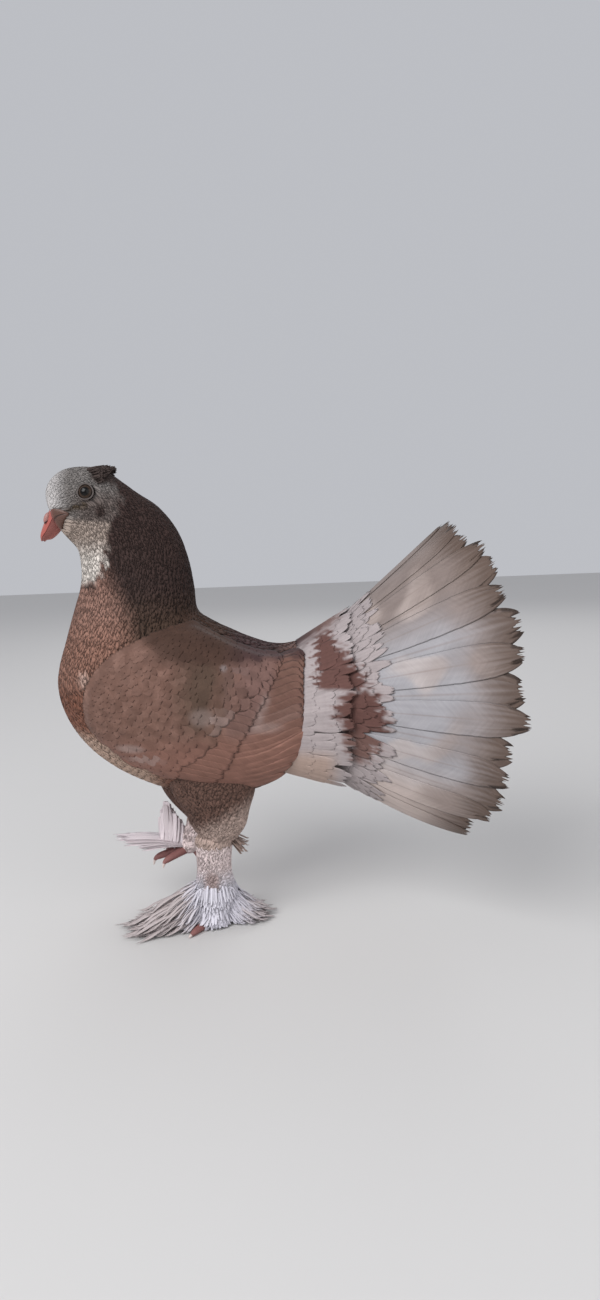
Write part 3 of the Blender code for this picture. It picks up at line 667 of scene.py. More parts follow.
@dataclass
class Feathers:
    """Where the feathers of one batch grow and how each looks: a value for each, or one for all.

    A feather runs its length along the way that it lies, turned by yaw, or else to its tip,
    given as u and v. Its base is the height of its root, lift how much higher its tip is and
    tilt how much higher its right edge. Its rim's colour is edge times its own.
    """

    u: Floats
    v: Floats
    colour: Floats
    half: Floats | float
    length: Floats | float = 0.0
    tip: tuple[Floats, Floats] | None = None
    yaw: Floats | float = 0.0
    base: Floats | float = 0.0
    lift: Floats | float = 0.0
    tilt: float = 0.0
    edge: float = 1.0


def vane_faces(rows: int, columns: int) -> tuple[Faces, Flags]:
    """Faces of a closed lens over a grid: a top, and an underside that shares the top's rim.

    Args:
        rows: Rows of the grid.
        columns: Columns of the grid.

    Returns:
        The faces, and which grid places have a corner of their own on the underside.
    """
    inner = np.zeros((rows, columns), bool)
    inner[1:-1, 1:-1] = True
    under = np.arange(rows * columns).reshape(rows, columns)
    under[inner] = rows * columns + np.arange(inner.sum())
    top = grid_quads(rows, columns)
    return np.vstack([top, under.ravel()[top][:, ::-1]]), inner


def join_vanes(
    name: str,
    top: Floats,
    below: Floats,
    colours: Floats,
    roots: Floats,
    own: tuple[Floats, Floats],
    material: Material,
) -> Piece:
    """One mesh of many closed vanes.

    Args:
        name: The piece's name.
        top: Feathers by rows by columns by three, the outer face of each.
        below: The same for the underside; only its inner places are used.
        colours: Linear colours at the same places.
        roots: Each feather's place on the unwrap of the skin, or a place for each of its corners.
        own: Millimetres across each feather and along it, at the same places.
        material: What it is made of.

    Returns:
        The object, with a bake map and a map of each feather's own.
    """
    count, rows, columns = top.shape[:3]
    faces, inner = vane_faces(rows, columns)
    corners = rows * columns + int(inner.sum())

    def both(values: Floats, under: Floats) -> Floats:
        """Values of the top corners, then those of the corners that lie below only."""
        outer = values.reshape(count, rows * columns, -1)
        inside = under.reshape(outer.shape)[:, inner.ravel()]
        return np.concatenate([outer, inside], 1).reshape(-1, outer.shape[-1])

    t = np.linspace(-0.5, 0.5, columns)[None, :, None]
    s = np.linspace(-0.5, 0.5, rows)[:, None, None]
    local = np.concatenate([s + 0 * t, t + 0 * s], -1) * BAKE_PATCH
    spots = roots if roots.ndim == 4 else roots[:, None, None, :] + local[None]
    quads = (faces[None] + (np.arange(count) * corners)[:, None, None]).reshape(-1, 4)
    share = np.stack(np.broadcast_arrays(*own), -1) / 100.0
    maps = {VANE_MAP: both(share, share), BAKE_MAP: np.clip(both(spots, spots), 0, 1)}
    underside = np.tile(np.arange(len(faces)) >= len(faces) // 2, count)
    return new_mesh(name, both(top, below), quads, material, both(colours, colours), maps, underside)


Paint = Callable[[Floats, Floats, Floats, Floats], Floats]


def surface_steps(along: Floats, round_way: Floats, direction: Floats) -> tuple[Floats, Floats]:
    """Changes of u and v that go one millimetre along a direction in the surface.

    They solve a * along + b * round_way = direction, by the surface's metric.

    Args:
        along: Change of place by u.
        round_way: Change of place by v.
        direction: The direction, of length one.

    Returns:
        The changes of u and of v.
    """
    pairs = ((along, along), (along, round_way), (round_way, round_way))
    uu, uv, vv = ((a * b).sum(-1) for a, b in pairs)
    du, dv = (direction * along).sum(-1), (direction * round_way).sum(-1)
    scale = uu * vv - uv * uv
    return (vv * du - uv * dv) / scale, (uu * dv - uv * du) / scale


def sideways(normal: Floats, way: Floats, round_way: Floats) -> Floats:
    """The way square to another in the surface, on the side where v grows."""
    side = np.cross(normal, way)
    return side * np.sign((side * round_way).sum(-1, keepdims=True))


def coat(
    name: str,
    slot: str,
    surface: Surface,
    vane: Vane,
    feathers: Feathers,
    material: Material,
    seed: int,
    paint: Paint | None = None,
) -> Piece:
    """Feathers that lie on a surface, as one mesh.

    A feather's line runs straight in u and v. Its corners are off that line by its width,
    square to it in the surface, at a height that grows from root to tip and falls towards
    the edges.

    Args:
        name: The piece's name.
        slot: A material slot's name; not used.
        surface: What the feathers grow on.
        vane: Their form.
        feathers: Their places, sizes and colours.
        material: What they are made of.
        seed: Seed of the small differences among them.
        paint: Changes the colours, from places, shares along and across, and colours.

    Returns:
        The object.
    """
    rng = dice(seed)
    count = len(feathers.u)

    def each(value: Floats | float) -> Floats:
        """A value for each feather, or the same one for all, as a column of grids."""
        return np.broadcast_to(np.asarray(value, float), (count,))[:, None, None]

    s = vane.shares()
    along, round_way, normal = surface.tangents(feathers.u, feathers.v)
    if feathers.tip is None:
        length = feathers.length
        ahead = unit(along)
        yaw = each(feathers.yaw)[:, 0]
        heading = np.cos(yaw) * ahead + np.sin(yaw) * sideways(normal, ahead, round_way)
        run_u, run_v = (length * step for step in surface_steps(along, round_way, heading))
    else:
        run_u, run_v = feathers.tip[0] - feathers.u, feathers.tip[1] - feathers.v
        ends = surface.point(*feathers.tip) - surface.point(feathers.u, feathers.v)
        length = np.linalg.norm(ends, axis=-1)
    line_u = feathers.u[:, None] + run_u[:, None] * s
    line_v = feathers.v[:, None] + run_v[:, None] * s
    along, round_way, normal = surface.tangents(line_u, line_v)
    way = unit(run_u[:, None, None] * along + run_v[:, None, None] * round_way)
    lateral = sideways(normal, way, round_way)
    side_u, side_v = (step[..., None] for step in surface_steps(along, round_way, lateral))

    s = s[None, :, None]
    t = np.linspace(-1, 1, vane.columns)[None, None, :]
    short = vane.shortened(s, count, rng)
    narrow = 1 + vane.ragged * vane.sway * rng.uniform(-1, 1, (count, vane.rows, 1))
    wide = each(feathers.half) * vane.width(s) * t * narrow
    u = line_u[..., None] - run_u[:, None, None] * s * short + wide * side_u
    v = line_v[..., None] - run_v[:, None, None] * s * short + wide * side_v
    fall = vane.camber * each(feathers.half) * vane.width(s) * t**2
    height = each(feathers.base) + each(feathers.lift) * s**1.1 - fall
    height = height + feathers.tilt * t * vane.width(s)
    rim = np.clip(np.maximum(np.abs(t) ** 2.5, s**5) + 0 * height, 0, 1)
    height = height - vane.tuck * rim
    thick = vane.thickness * (1 - 0.7 * s) * (1 - 0.6 * t**2)
    top, below = surface.place(u, v, height), surface.place(u, v, height - thick)
    colour = feathers.colour[:, None, None, :]
    colours = mix(colour, colour * feathers.edge, rim)
    if paint is not None:
        colours = paint(top, s + 0 * height, t + 0 * height, colours)
    roots = surface.bake_place(feathers.u, feathers.v)
    own = (wide, each(length) * (s - s * short))
    made = join_vanes(name, top, below, colours, roots, own, material)
    log.info("%s: %d feathers, %d faces", name, count, len(made.data.polygons))
    return made


def scatter(
    surface: Surface,
    reach: Span,
    spacing: Span,
    keep: Callable[[Floats, Floats], Flags] | None = None,
) -> tuple[Floats, Floats]:
    """Evenly spread places on a surface, all the way round it.

    Multiples of the powers of 1 / g, with g^4 = g + 1, fill the box of u, v and chance evenly;
    a place stays where chance is under the wanted count for its area.

    Args:
        surface: The surface.
        reach: Lowest and highest u.
        spacing: Millimetres between places at either end of the reach.
        keep: Which places may stay, or all of them.

    Returns:
        The u and v of the places.
    """
    golden = 1.2207440846057596
    low, high = reach
    around = np.linspace(-math.pi, math.pi, 80)
    grid = np.meshgrid(np.linspace(low, high, 80), around, indexing="ij")

    def density(u: Floats, v: Floats) -> Floats:
        """How many feathers a unit of u times v wants."""
        along, round_way, _ = surface.tangents(u, v)
        return np.linalg.norm(np.cross(along, round_way), axis=-1) / np.interp(u, reach, spacing) ** 2

    most = float(density(*grid).max())
    k = np.arange(1, int((high - low) * 2 * math.pi * most) + 2)[:, None]
    spots = (0.5 + k / golden ** np.arange(1, 4)[None]) % 1.0
    u = low + (high - low) * spots[:, 0]
    v = -math.pi + 2 * math.pi * spots[:, 1]
    chosen = spots[:, 2] < density(u, v) / most
    if keep is not None:
        chosen &= keep(u, v)
    return u[chosen], v[chosen]


# Materials


class NodeTree:
    """Builds a node tree with few words."""

    def __init__(self, tree: bpy.types.NodeTree) -> None:
        """Keeps the tree that nodes are added to."""
        self.tree = tree

    def feed(self, socket: Socket, value: object) -> None:
        """Links a socket, or gives it a value of its own."""
        if isinstance(value, Socket):
            self.tree.links.new(value, socket)
        else:
            socket.default_value = (*value.linear, 1.0) if isinstance(value, Tint) else value

    def fill(self, node: bpy.types.Node, **values: object) -> bpy.types.Node:
        """Gives a node values, to its sockets by name or else to its properties."""
        for name, value in values.items():
            socket = node.inputs.get(name.replace("_", " "))
            if socket is None:
                setattr(node, name, value)
            else:
                self.feed(socket, value)
        return node

    def add(self, kind: str, **values: object) -> bpy.types.Node:
        """A new node of a kind with its values."""
        return self.fill(self.tree.nodes.new(kind), **values)

    def math(self, operation: str, first: object, second: object = 0.0) -> Socket:
        """The result of a Math node on two values or sockets."""
        node = self.add("ShaderNodeMath", operation=operation)
        self.feed(node.inputs[0], first)
        self.feed(node.inputs[1], second)
        return node.outputs[0]

    def scaled(self, first: object, factor: object, offset: float) -> Socket:
        """A value times a factor, plus an offset."""
        return self.math("ADD", offset, self.math("MULTIPLY", first, factor))

    def noise(self, vector: Socket, scale: object, detail: float = 2.0) -> Socket:
        """Noise from 0 to 1 on a vector."""
        return self.add("ShaderNodeTexNoise", Vector=vector, Scale=scale, Detail=detail).outputs["Fac"]

    def object_place(self) -> Socket:
        """The place in the frame, in metres."""
        return self.add("ShaderNodeTexCoord").outputs["Object"]

    def plumage(self) -> Socket:
        """The colour of the plumage attribute."""
        return self.add("ShaderNodeAttribute", attribute_name=PLUMAGE).outputs["Color"]

    def mix_colour(self, share: object, a: object, b: object) -> Socket:
        """Colour a turned into b by a share."""
        node = self.add("ShaderNodeMix", data_type="RGBA")
        for place, value in ((0, share), (6, a), (7, b)):
            self.feed(node.inputs[place], value)
        return node.outputs[2]

    def brighter(self, colour: Socket, amount: Socket) -> Socket:
        """A colour made brighter or darker by an amount about 1."""
        node = self.add("ShaderNodeVectorMath", operation="SCALE", Scale=amount)
        self.feed(node.inputs[0], colour)
        return node.outputs[0]


def start_group(name: str, results: dict[str, str], **values: float) -> NodeTree:
    """A new shader group that takes a colour and values, and puts out results of their kinds."""
    group = bpy.data.node_groups.new(name, "ShaderNodeTree")
    face = group.interface
    face.new_socket("Colour", in_out="INPUT", socket_type="NodeSocketColor")
    for label, value in values.items():
        face.new_socket(label, in_out="INPUT", socket_type="NodeSocketFloat").default_value = value
    for label, kind in results.items():
        face.new_socket(label, in_out="OUTPUT", socket_type="NodeSocket" + kind)
    return NodeTree(group)


def start_material(name: str) -> tuple[Material, NodeTree, bpy.types.Node]:
    """A new material, its node tree and its Principled shader."""
    material = bpy.data.materials.new(name)
    material.use_nodes = True
    return material, NodeTree(material.node_tree), material.node_tree.nodes["Principled BSDF"]


class SharedEffects:
    """The node groups that more than one finish uses."""

    def __init__(self) -> None:
        """Builds both groups."""
        self.barbs = self.build_barbs()
        self.mottle = self.build_mottle()

    def build_barbs(self) -> bpy.types.NodeTree:
        """Barbs: slanting streaks that leave the shaft, as a colour and a height.

        The streak's place is the way along the feather plus 0.9 of the way from its shaft,
        in units of the pitch, shaken by noise.
        """
        n = start_group("barbs", {"Colour": "Color", "Height": "Float"}, Pitch=0.5, Strength=0.15)
        given = n.add("NodeGroupInput").outputs
        own = n.add("ShaderNodeUVMap", uv_map=VANE_MAP).outputs[0]
        parts = n.add("ShaderNodeSeparateXYZ", Vector=own).outputs
        across = n.math("MULTIPLY", n.math("ABSOLUTE", parts["X"]), 90.0)
        along = n.math("MULTIPLY", parts["Y"], 100.0)
        shaken = n.math("MULTIPLY", n.noise(n.object_place(), 260.0), 1.2)
        place = n.math("DIVIDE", n.math("ADD", n.math("ADD", along, across), shaken), given["Pitch"])
        wave = n.math("SINE", n.math("MULTIPLY", place, 2 * math.pi))
        streak_at = n.add("ShaderNodeCombineXYZ", X=place, Y=n.math("MULTIPLY", across, 0.12)).outputs[0]
        streak = n.noise(streak_at, 0.55, 3.0)
        change = n.math("MULTIPLY", n.math("SUBTRACT", streak, 0.5), given["Strength"])
        fine = n.math("MULTIPLY", n.math("MULTIPLY", wave, 0.12), given["Strength"])
        amount = n.math("ADD", 1.0, n.math("ADD", n.math("MULTIPLY", change, 2.0), fine))
        height = n.math("ADD", n.math("MULTIPLY", wave, 0.3), streak)
        n.add("NodeGroupOutput", Colour=n.brighter(given["Colour"], amount), Height=height)
        return n.tree

    def build_mottle(self) -> bpy.types.NodeTree:
        """Mottle: soft uneven brightness of a surface, by noise in two sizes."""
        n = start_group("mottle", {"Colour": "Color"}, Size=120.0, Strength=0.1)
        given = n.add("NodeGroupInput").outputs
        noise = n.noise(n.object_place(), given["Size"], 3.0)
        change = n.math("MULTIPLY", n.math("SUBTRACT", noise, 0.5), given["Strength"])
        n.add("NodeGroupOutput", Colour=n.brighter(given["Colour"], n.scaled(change, 2.0, 1.0)))
        return n.tree


@dataclass(frozen=True)
class FeatherFinish:
    """A finish that reads the plumage colours and adds barbs and mottling."""

    name: str
    pitch: float
    streaks: float
    mottle: float
    roughness: float = 0.72
    bump: float = 0.3
    sheen: float = 0.02
    relief: float = 0.00015
    gloss: float = 0.12

    def build(self, effects: SharedEffects) -> Material:
        """The material: plumage colour, mottle group, barbs group, bump and a soft sheen.

        Args:
            effects: The shared groups.

        Returns:
            The material.
        """
        material, n, shader = start_material(self.name)
        plumage = n.plumage()
        spotted = n.add("ShaderNodeGroup", node_tree=effects.mottle, Strength=self.mottle, Colour=plumage)
        barbs = n.add("ShaderNodeGroup", node_tree=effects.barbs, Pitch=self.pitch, Strength=self.streaks)
        n.fill(barbs, Colour=spotted.outputs["Colour"])
        height = barbs.outputs["Height"]
        bump = n.add("ShaderNodeBump", Strength=self.bump, Distance=self.relief, Height=height)
        n.fill(shader, Base_Color=barbs.outputs["Colour"], Normal=bump.outputs[0], Roughness=self.roughness)
        n.fill(shader, Sheen_Weight=self.sheen, Specular_IOR_Level=self.gloss)
        return material


@dataclass(frozen=True)
class BareFinish:
    """A finish of a bare part: its tints by noise, small bumps, and its gloss.

    Without tints it is painted: its colour comes from the plumage attribute.
    """

    name: str
    size: float
    roughness: float
    bump: float
    tints: tuple[Tint, Tint] | None = None
    coat: float = 0.0
    gloss: float = 0.5
    relief: float = 0.0003

    def build(self) -> Material:
        """The material."""
        material, n, shader = start_material(self.name)
        place = n.object_place()
        noise = n.noise(place, self.size, 4.0)
        if self.tints is None:
            colour = n.brighter(n.plumage(), n.scaled(noise, 0.3, 0.85))
        else:
            colour = n.mix_colour(noise, *self.tints)
        fine = n.noise(place, self.size * 4, 2.0)
        bump = n.add("ShaderNodeBump", Strength=self.bump, Distance=self.relief, Height=fine)
        rough = n.scaled(noise, 0.16, self.roughness - 0.08)
        n.fill(shader, Base_Color=colour, Normal=bump.outputs[0], Roughness=rough)
        n.fill(shader, Specular_IOR_Level=self.gloss, Coat_Weight=self.coat, Coat_Roughness=0.08)
        return material


class Finishes:
    """Every material of the bird, built once."""

    def __init__(self) -> None:
        """Builds them all on the same shared effects."""
        effects = SharedEffects()
        self.small = FeatherFinish("small_feather", 0.4, 0.08, 0.10, bump=0.25).build(effects)
        self.body = FeatherFinish("body_feather", 0.5, 0.12, 0.14).build(effects)
        self.wing = FeatherFinish("wing_feather", 0.8, 0.22, 0.2, 0.65).build(effects)
        self.tail = FeatherFinish("tail_feather", 1.0, 0.14, 0.06, 0.6).build(effects)
        self.cover = FeatherFinish("tail_covert", 0.8, 0.12, 0.06, 0.7, 0.2).build(effects)
        self.muff = FeatherFinish("foot_feather", 0.7, 0.10, 0.08, 0.8).build(effects)
        self.skin = BareFinish("skin", 300.0, 0.7, 0.3).build()
        self.horn = BareFinish("bill_horn", 260.0, 0.45, 0.15, coat=0.05, gloss=0.35).build()
        self.eye = BareFinish("eye_ball", 900.0, 0.14, 0.0, gloss=0.22).build()
        lid = (Tint(62, 54, 52), Tint(84, 75, 71))
        self.lid = BareFinish("eyelid", 700.0, 0.6, 0.4, lid).build()
        toe = (Tint(116, 74, 72), Tint(148, 100, 95))
        self.toe = BareFinish("toe_scale", 500.0, 0.6, 0.4, toe).build()
        claw = (Tint(196, 178, 172), Tint(224, 208, 202))
        self.claw = BareFinish("claw", 500.0, 0.35, 0.2, claw).build()


# Markings


def blob(p: Floats, x: float, z: float, wide: float, tall: float, soft: float = 0.45) -> Floats:
    """An ellipse of the side view with a soft edge.

    Args:
        p: Places.
        x: Its middle's x.
        z: Its middle's z.
        wide: Half its width.
        tall: Half its height.
        soft: Half the width of its edge, as a share of its size.

    Returns:
        1 inside and 0 outside it.
    """
    far = np.hypot((p[..., 0] - x) / wide, (p[..., 2] - z) / tall)
    return 1 - smooth(1 - soft, 1 + soft, far)


def band(x: Floats, middle: Floats, width: float) -> Floats:
    """1 at a middle, falling off on both sides of it as a bell."""
    return np.exp(-(((x - middle) / width) ** 2))


@dataclass(frozen=True)
class Markings:
    """The bird's markings by place in the side view, alike on both sides."""

    cheek_edge: Rows = (
        (212, -57.0), (215, -55.3), (223, -49.5), (233, -47.0), (244, -46.1),
        (250, -44.5), (254, -39.5), (264, -38.7), (272, -44.0), (284, -46.0),
    )
    ear: Span = (-50.5, 255.6)
    dark_edge: Rows = (
        (150, -36.0), (165, -36.0), (180, -34.0), (200, -38.0), (215, -46.0), (230, -54.0),
    )
    wing_spots: Rows = (
        (5.0, 139.5, 6.5, 5.0, 0.6), (40.0, 130.0, 9.0, 3.0, 0.35), (-38.0, 121.0, 8.0, 2.6, 0.85),
    )

    def head(self, p: Floats) -> Floats:
        """White face, grey crown, brown lore and ear, cream throat, dark crest."""
        x, z = p[..., 0], p[..., 2]
        level = np.interp(x, (-76.0, -72.2, -67.4, -57.4), (251.5, 254.5, 258.1, 259.7))
        return cover(
            Hue.FACE,
            (Hue.CROWN, smooth(-81, -68, x)),
            (Hue.CHEEK, smooth(-72, -58, x) * smooth(272, 260, z)),
            (Hue.THROAT_HIGH, smooth(253.5, 249.5, z + 0.10 * (x + 70))),
            (Hue.THROAT, smooth(242, 226, z)),
            (mix(Hue.GAPE, Hue.LORE, smooth(-70, -65, x)), band(z, level, 1.5) * smooth(-55, -61, x)),
            (Hue.EAR, blob(p, *self.ear, 2.7, 3.8)),
            (Hue.CREST, blob(p, -49.5, 277.0, 6.5, 5.5, 0.25)),
        )

    def trunk(self, p: Floats) -> Floats:
        """Chestnut neck front and breast, dark neck, olive and purple back, pale belly."""
        x, z = p[..., 0], p[..., 2]
        edge = np.interp(z, *np.transpose(self.dark_edge))
        return cover(
            Hue.CHESTNUT,
            (Hue.BREAST, smooth(205, 175, z)),
            (Hue.BREAST_LOW, smooth(162, 145, z)),
            (Hue.BELLY, smooth(132, 120, z) * smooth(-18, -36, x)),
            (Hue.SPOT, 0.8 * blob(p, -63.0, 160.6, 4.0, 4.0)),
            (Hue.WING_PALE, 0.7 * blob(p, -15.0, 105.0, 9.0, 5.0)),
            (
                mix(Hue.NECK_OLIVE, Hue.NECK_DARK, smooth(188, 215, z)),
                smooth(-10, 10, x - edge) * smooth(120, 165, z),
            ),
            (
                mix(Hue.BACK, Hue.BACK_PURPLE, smooth(14, 26, x)),
                smooth(-14, 2, x) * smooth(165, 175, z) * smooth(202, 190, z),
            ),
            (Hue.COVERT_ROSY, 0.7 * smooth(44, 58, x) * smooth(150, 165, z)),
            (Hue.THIGH, smooth(-30, -8, x) * smooth(120, 104, z)),
        )

    def colour(self, p: Floats) -> Floats:
        """The plumage at a place of head, neck or trunk."""
        x, z = p[..., 0], p[..., 2]
        shaken = x + 2.0 * ripple(x, z, 7.0, 3)
        edge = np.interp(z, *np.transpose(self.cheek_edge))
        pale = smooth(1.5, -2.5, shaken - edge) * smooth(211, 217, z + 2 * ripple(z, x, 8.0, 4))
        return cover(
            self.trunk(p),
            (self.head(p), pale),
            (Hue.NECK_DARK, 0.8 * blob(p, -58.5, 213.0, 3.5, 2.2) * (p[..., 1] < 8)),
            (Hue.VENT, smooth(46, 60, x) * smooth(118, 104, z)),
        )

    def wing(self, p: Floats) -> Floats:
        """Mottled brown front, dark top, an olive patch, rosy rear panels and pale places."""
        x, z = p[..., 0], p[..., 2]
        spots = ripple(x, z, 10.0, 8) + 0.5 * ripple(x, z, 5.0, 9)
        lines = 0.5 + 0.5 * np.sin(z * 1.25 + 0.05 * x + 2.2 * ripple(x, z, 14.0, 13))
        rear_edge = np.interp(z, (130, 147, 158, 168), (33, 42, 46, 44))
        olive = blob(p, 3.0, 153.0, 13.5, 24.0, 0.3) * smooth(19, 14, x + 0.35 * (168 - z))
        pale = band(x, np.interp(z, (132, 147), (34.5, 41)), 2.2) * blob(p, 38, 140, 10, 9)
        top = np.interp(x, (-30, -17, -5, 16), (186, 172, 169, 167.5)) + 1.2 * ripple(x, z, 8.0, 15)
        soft = np.interp(x, (-22, 8), (8.0, 2.0))
        return cover(
            Hue.WING_MID,
            (Hue.WING_LIGHT, 0.6 * smooth(0.05, 0.9, spots)),
            (Hue.WING_DARK, 0.6 * smooth(-0.05, -0.9, spots)),
            (Hue.WING_ROSY, 0.85 * smooth(15, 19, x + 2 * ripple(z, x, 6.0, 12))),
            (mix(Hue.WING_REAR, Hue.WING_MID, 0.7 * lines), smooth(-2.5, 2.5, x - rear_edge)),
            (Hue.WING_OLIVE, 0.9 * olive),
            (Hue.WING_LOW, smooth(131, 121, z + 2 * ripple(x, z, 12.0, 14))),
            (Hue.WING_PALE, 0.6 * pale),
            *((Hue.WING_PALE, share * blob(p, *spot)) for *spot, share in self.wing_spots),
            (mix(Hue.BACK, Hue.BACK_PURPLE, smooth(14, 28, x)), smooth(-1, 1, (z - top - 0.5) / soft)),
            (Hue.COVER_WHITE, 0.8 * blob(p, 17.8, 165.8, 1.7, 1.5)),
        )

    def leg(self, p: Floats, left: bool) -> Floats:
        """Brown thigh with a pale end, white shank and a bare-looking patch on the left one.

        Args:
            p: Places.
            left: Whether they are on the left leg.

        Returns:
            A colour for each place.
        """
        x, y, z = p[..., 0], p[..., 1], p[..., 2]
        hock = 57.0 if left else 60.0
        thigh = mix(Hue.THIGH, Hue.THIGH_END, smooth(82, 66, z - 0.5 * (x - 8)))
        bare = blob(p, 1.8, 32.0, 4.4, 6.2) * (y < -8) * left
        return cover(
            Hue.SHANK,
            (Hue.MUFF, smooth(42, 26, z)),
            (Hue.PINK, 0.85 * bare),
            (thigh, smooth(hock - 1.0, hock, z)),
        )

    def tail_cover(self, p: Floats) -> Floats:
        """White tail coverts with two brown patches, rosy on top and below."""
        x, y, z = p[..., 0], p[..., 1], p[..., 2]
        shaken = x + 3.0 * ripple(z, y, 3.5, 61) + 1.5 * ripple(z, x, 1.8, 62)
        level = z + 1.0 * ripple(x, y, 7.0, 63)
        first = smooth(68, 71, shaken) * smooth(149.5, 152.5, level)
        first = first * smooth(100, 94, shaken + np.clip(level - 158, 0, 30) * 0.8)
        left = np.interp(z, (105, 122, 140, 150), (88, 84, 78, 84))
        right = np.interp(z, (105, 117, 131, 150), (97, 103, 109, 104))
        second = smooth(-3, 5, shaken - left) * smooth(102, 112, level) * smooth(152, 149, level)
        second = second * smooth(2, -3, shaken - right)
        near_middle = smooth(20, 5, np.abs(y) + 2 * ripple(x, y, 5.0, 65))
        return cover(
            Hue.COVER_WHITE,
            (
                mix(Hue.COVERT, Hue.COVERT_ROSY, smooth(134, 116, level)),
                np.maximum(first, second) * smooth(10, 18, np.abs(y)),
            ),
            (
                mix(Hue.BACK_PURPLE, Hue.COVERT_ROSY, smooth(60, 80, x)),
                near_middle * smooth(150, 160, z) * smooth(90, 78, shaken),
            ),
            (Hue.BELLY, 0.7 * smooth(118, 106, z) * smooth(84, 72, x)),
        )

    def tail(self, p: Floats, s: Floats, t: Floats, colours: Floats) -> Floats:
        """White flight feathers, cream below, tan near the top, with brown frayed tips.

        Args:
            p: Places.
            s: Shares of the way along the feather.
            t: Shares across it, from -1 to 1.
            colours: Not read; every paint is given them.

        Returns:
            A colour for each place.
        """
        turn = np.abs(np.arctan2(-p[..., 1], p[..., 2] - 140.0))
        patches = ripple(p[..., 0], p[..., 2], 26.0, 53)
        frayed = s + 0.03 * ripple(t * 8.0, s * 4.0, 2.2, 52) + 0.02 * t**2
        painted = cover(
            Hue.TAIL_WHITE,
            (Hue.TAIL_CREAM, smooth(1.9, 2.5, turn)),
            (Hue.TAIL_TAN, 0.9 * smooth(1.1, 0.6, turn)),
            (Hue.TAIL_CREAM, 0.5 * smooth(0.2, 0.8, patches)),
            (Hue.TAIL_TAN, 0.75 * smooth(0.58, 0.86, s + 0.08 * patches)),
            (Hue.TAIL_TIP, 0.85 * smooth(0.78, 0.985, frayed)),
            (Hue.TAIL_TAN, 0.4 * band(t, 0.0, 0.035) * smooth(1.0, 0.6, s)),
        )
        return painted * (1 + 0.05 * ripple(t * 9.0, s * 30.0, 4.0, 51))[..., None]

    def tail_covert(self, p: Floats, s: Floats, t: Floats, colours: Floats) -> Floats:
        """The coverts' patches by place, with fine streaks along each feather.

        Args:
            p: Places.
            s: Shares of the way along the feather.
            t: Shares across it, from -1 to 1.
            colours: The brightness of each feather, as a grey.

        Returns:
            A colour for each place.
        """
        wave = ripple(t * 3.0, s * 2.0, 1.5, 64)
        return self.tail_cover(p) * (1 + 0.07 * wave)[..., None] * (colours / colours.mean())

    def wing_streaks(self, seed: int, strength: float, share: float = 0.0) -> Paint:
        """A paint of long soft streaks along a feather, with a paler rim.

        Args:
            seed: Seed of the streaks.
            strength: How strong they are.
            share: How much of the wing's markings by place is mixed in first.

        Returns:
            The paint.
        """

        def paint(p: Floats, s: Floats, t: Floats, colours: Floats) -> Floats:
            """Markings by place, then streaks, then the rim."""
            colours = mix(colours, self.wing(p), share) if share else colours
            wave = ripple(p[..., 0] * 0.35, p[..., 2] * 1.6, 4.0, seed)
            colours = colours * (1 + strength * wave)[..., None]
            return mix(colours, colours * 1.05, smooth(0.6, 1.0, np.maximum(np.abs(t), s**4)))

        return paint


# The coat of head, neck and trunk


@dataclass(frozen=True)
class Plumage:
    """What the bird's coats are grown with."""

    finishes: Finishes
    markings: Markings


@dataclass(frozen=True)
class Zone:
    """A stretch of the coat and how its feathers grow along it, as values at its two ends.

    Length and half width are in gaps between feathers; depth is how far under the coat the
    roots are, and lift how much higher the tips.
    """

    name: str
    slot: str
    stations: Span
    spacing: Span
    length: float
    half: float
    depth: Span
    lift: Span
    vane: Vane = FINE


@dataclass(frozen=True)
class EyePlan:
    """Where an eye is on the head, and its size."""

    station: float = 6.13
    angle: float = math.radians(63.2)
    radius: float = 5.4
    sunk: float = 3.5
    lid: float = 4.55
    bare: float = 5.3
    pupil_edge: float = 24.0
    iris_edge: float = 42.0

    def place(self, side: Side) -> tuple[Floats, Floats]:
        """The middle of the opening and the way that the eye looks."""
        surface = BodySurface()
        u, v = np.array(self.station), np.array(side.value * self.angle)
        return surface.point(u, v), surface.tangents(u, v)[2]


@dataclass(frozen=True)
class GapePlan:
    """The bare corner of the mouth: its upper, middle and lower lines as station and degrees."""

    upper: Rows = (
        (-0.3, 60.0), (1.3, 74.0), (2.6, 84.0), (3.6, 92.0), (4.5, 98.5),
    )
    middle: Rows = (
        (-0.3, 107.0), (0.9, 104.0), (2.0, 101.0), (3.2, 100.0), (4.5, 99.0),
    )
    lower: Rows = (
        (-0.3, 152.0), (0.8, 146.0), (1.8, 136.0), (3.0, 118.0), (4.5, 99.5),
    )
    end: float = 4.1
    upper_margin: float = 4.0
    lower_margin: float = 5.0

    def inside(self, u: Floats, v: Floats) -> Flags:
        """Which places lie on the bare corner, a little inside its edge."""
        (us, high), (ls, low) = np.transpose(self.upper), np.transpose(self.lower)
        turn = np.degrees(np.abs(v))
        past_upper = turn > np.interp(u, us, high) + self.upper_margin
        return (u < self.end) & past_upper & (turn < np.interp(u, ls, low) - self.lower_margin)


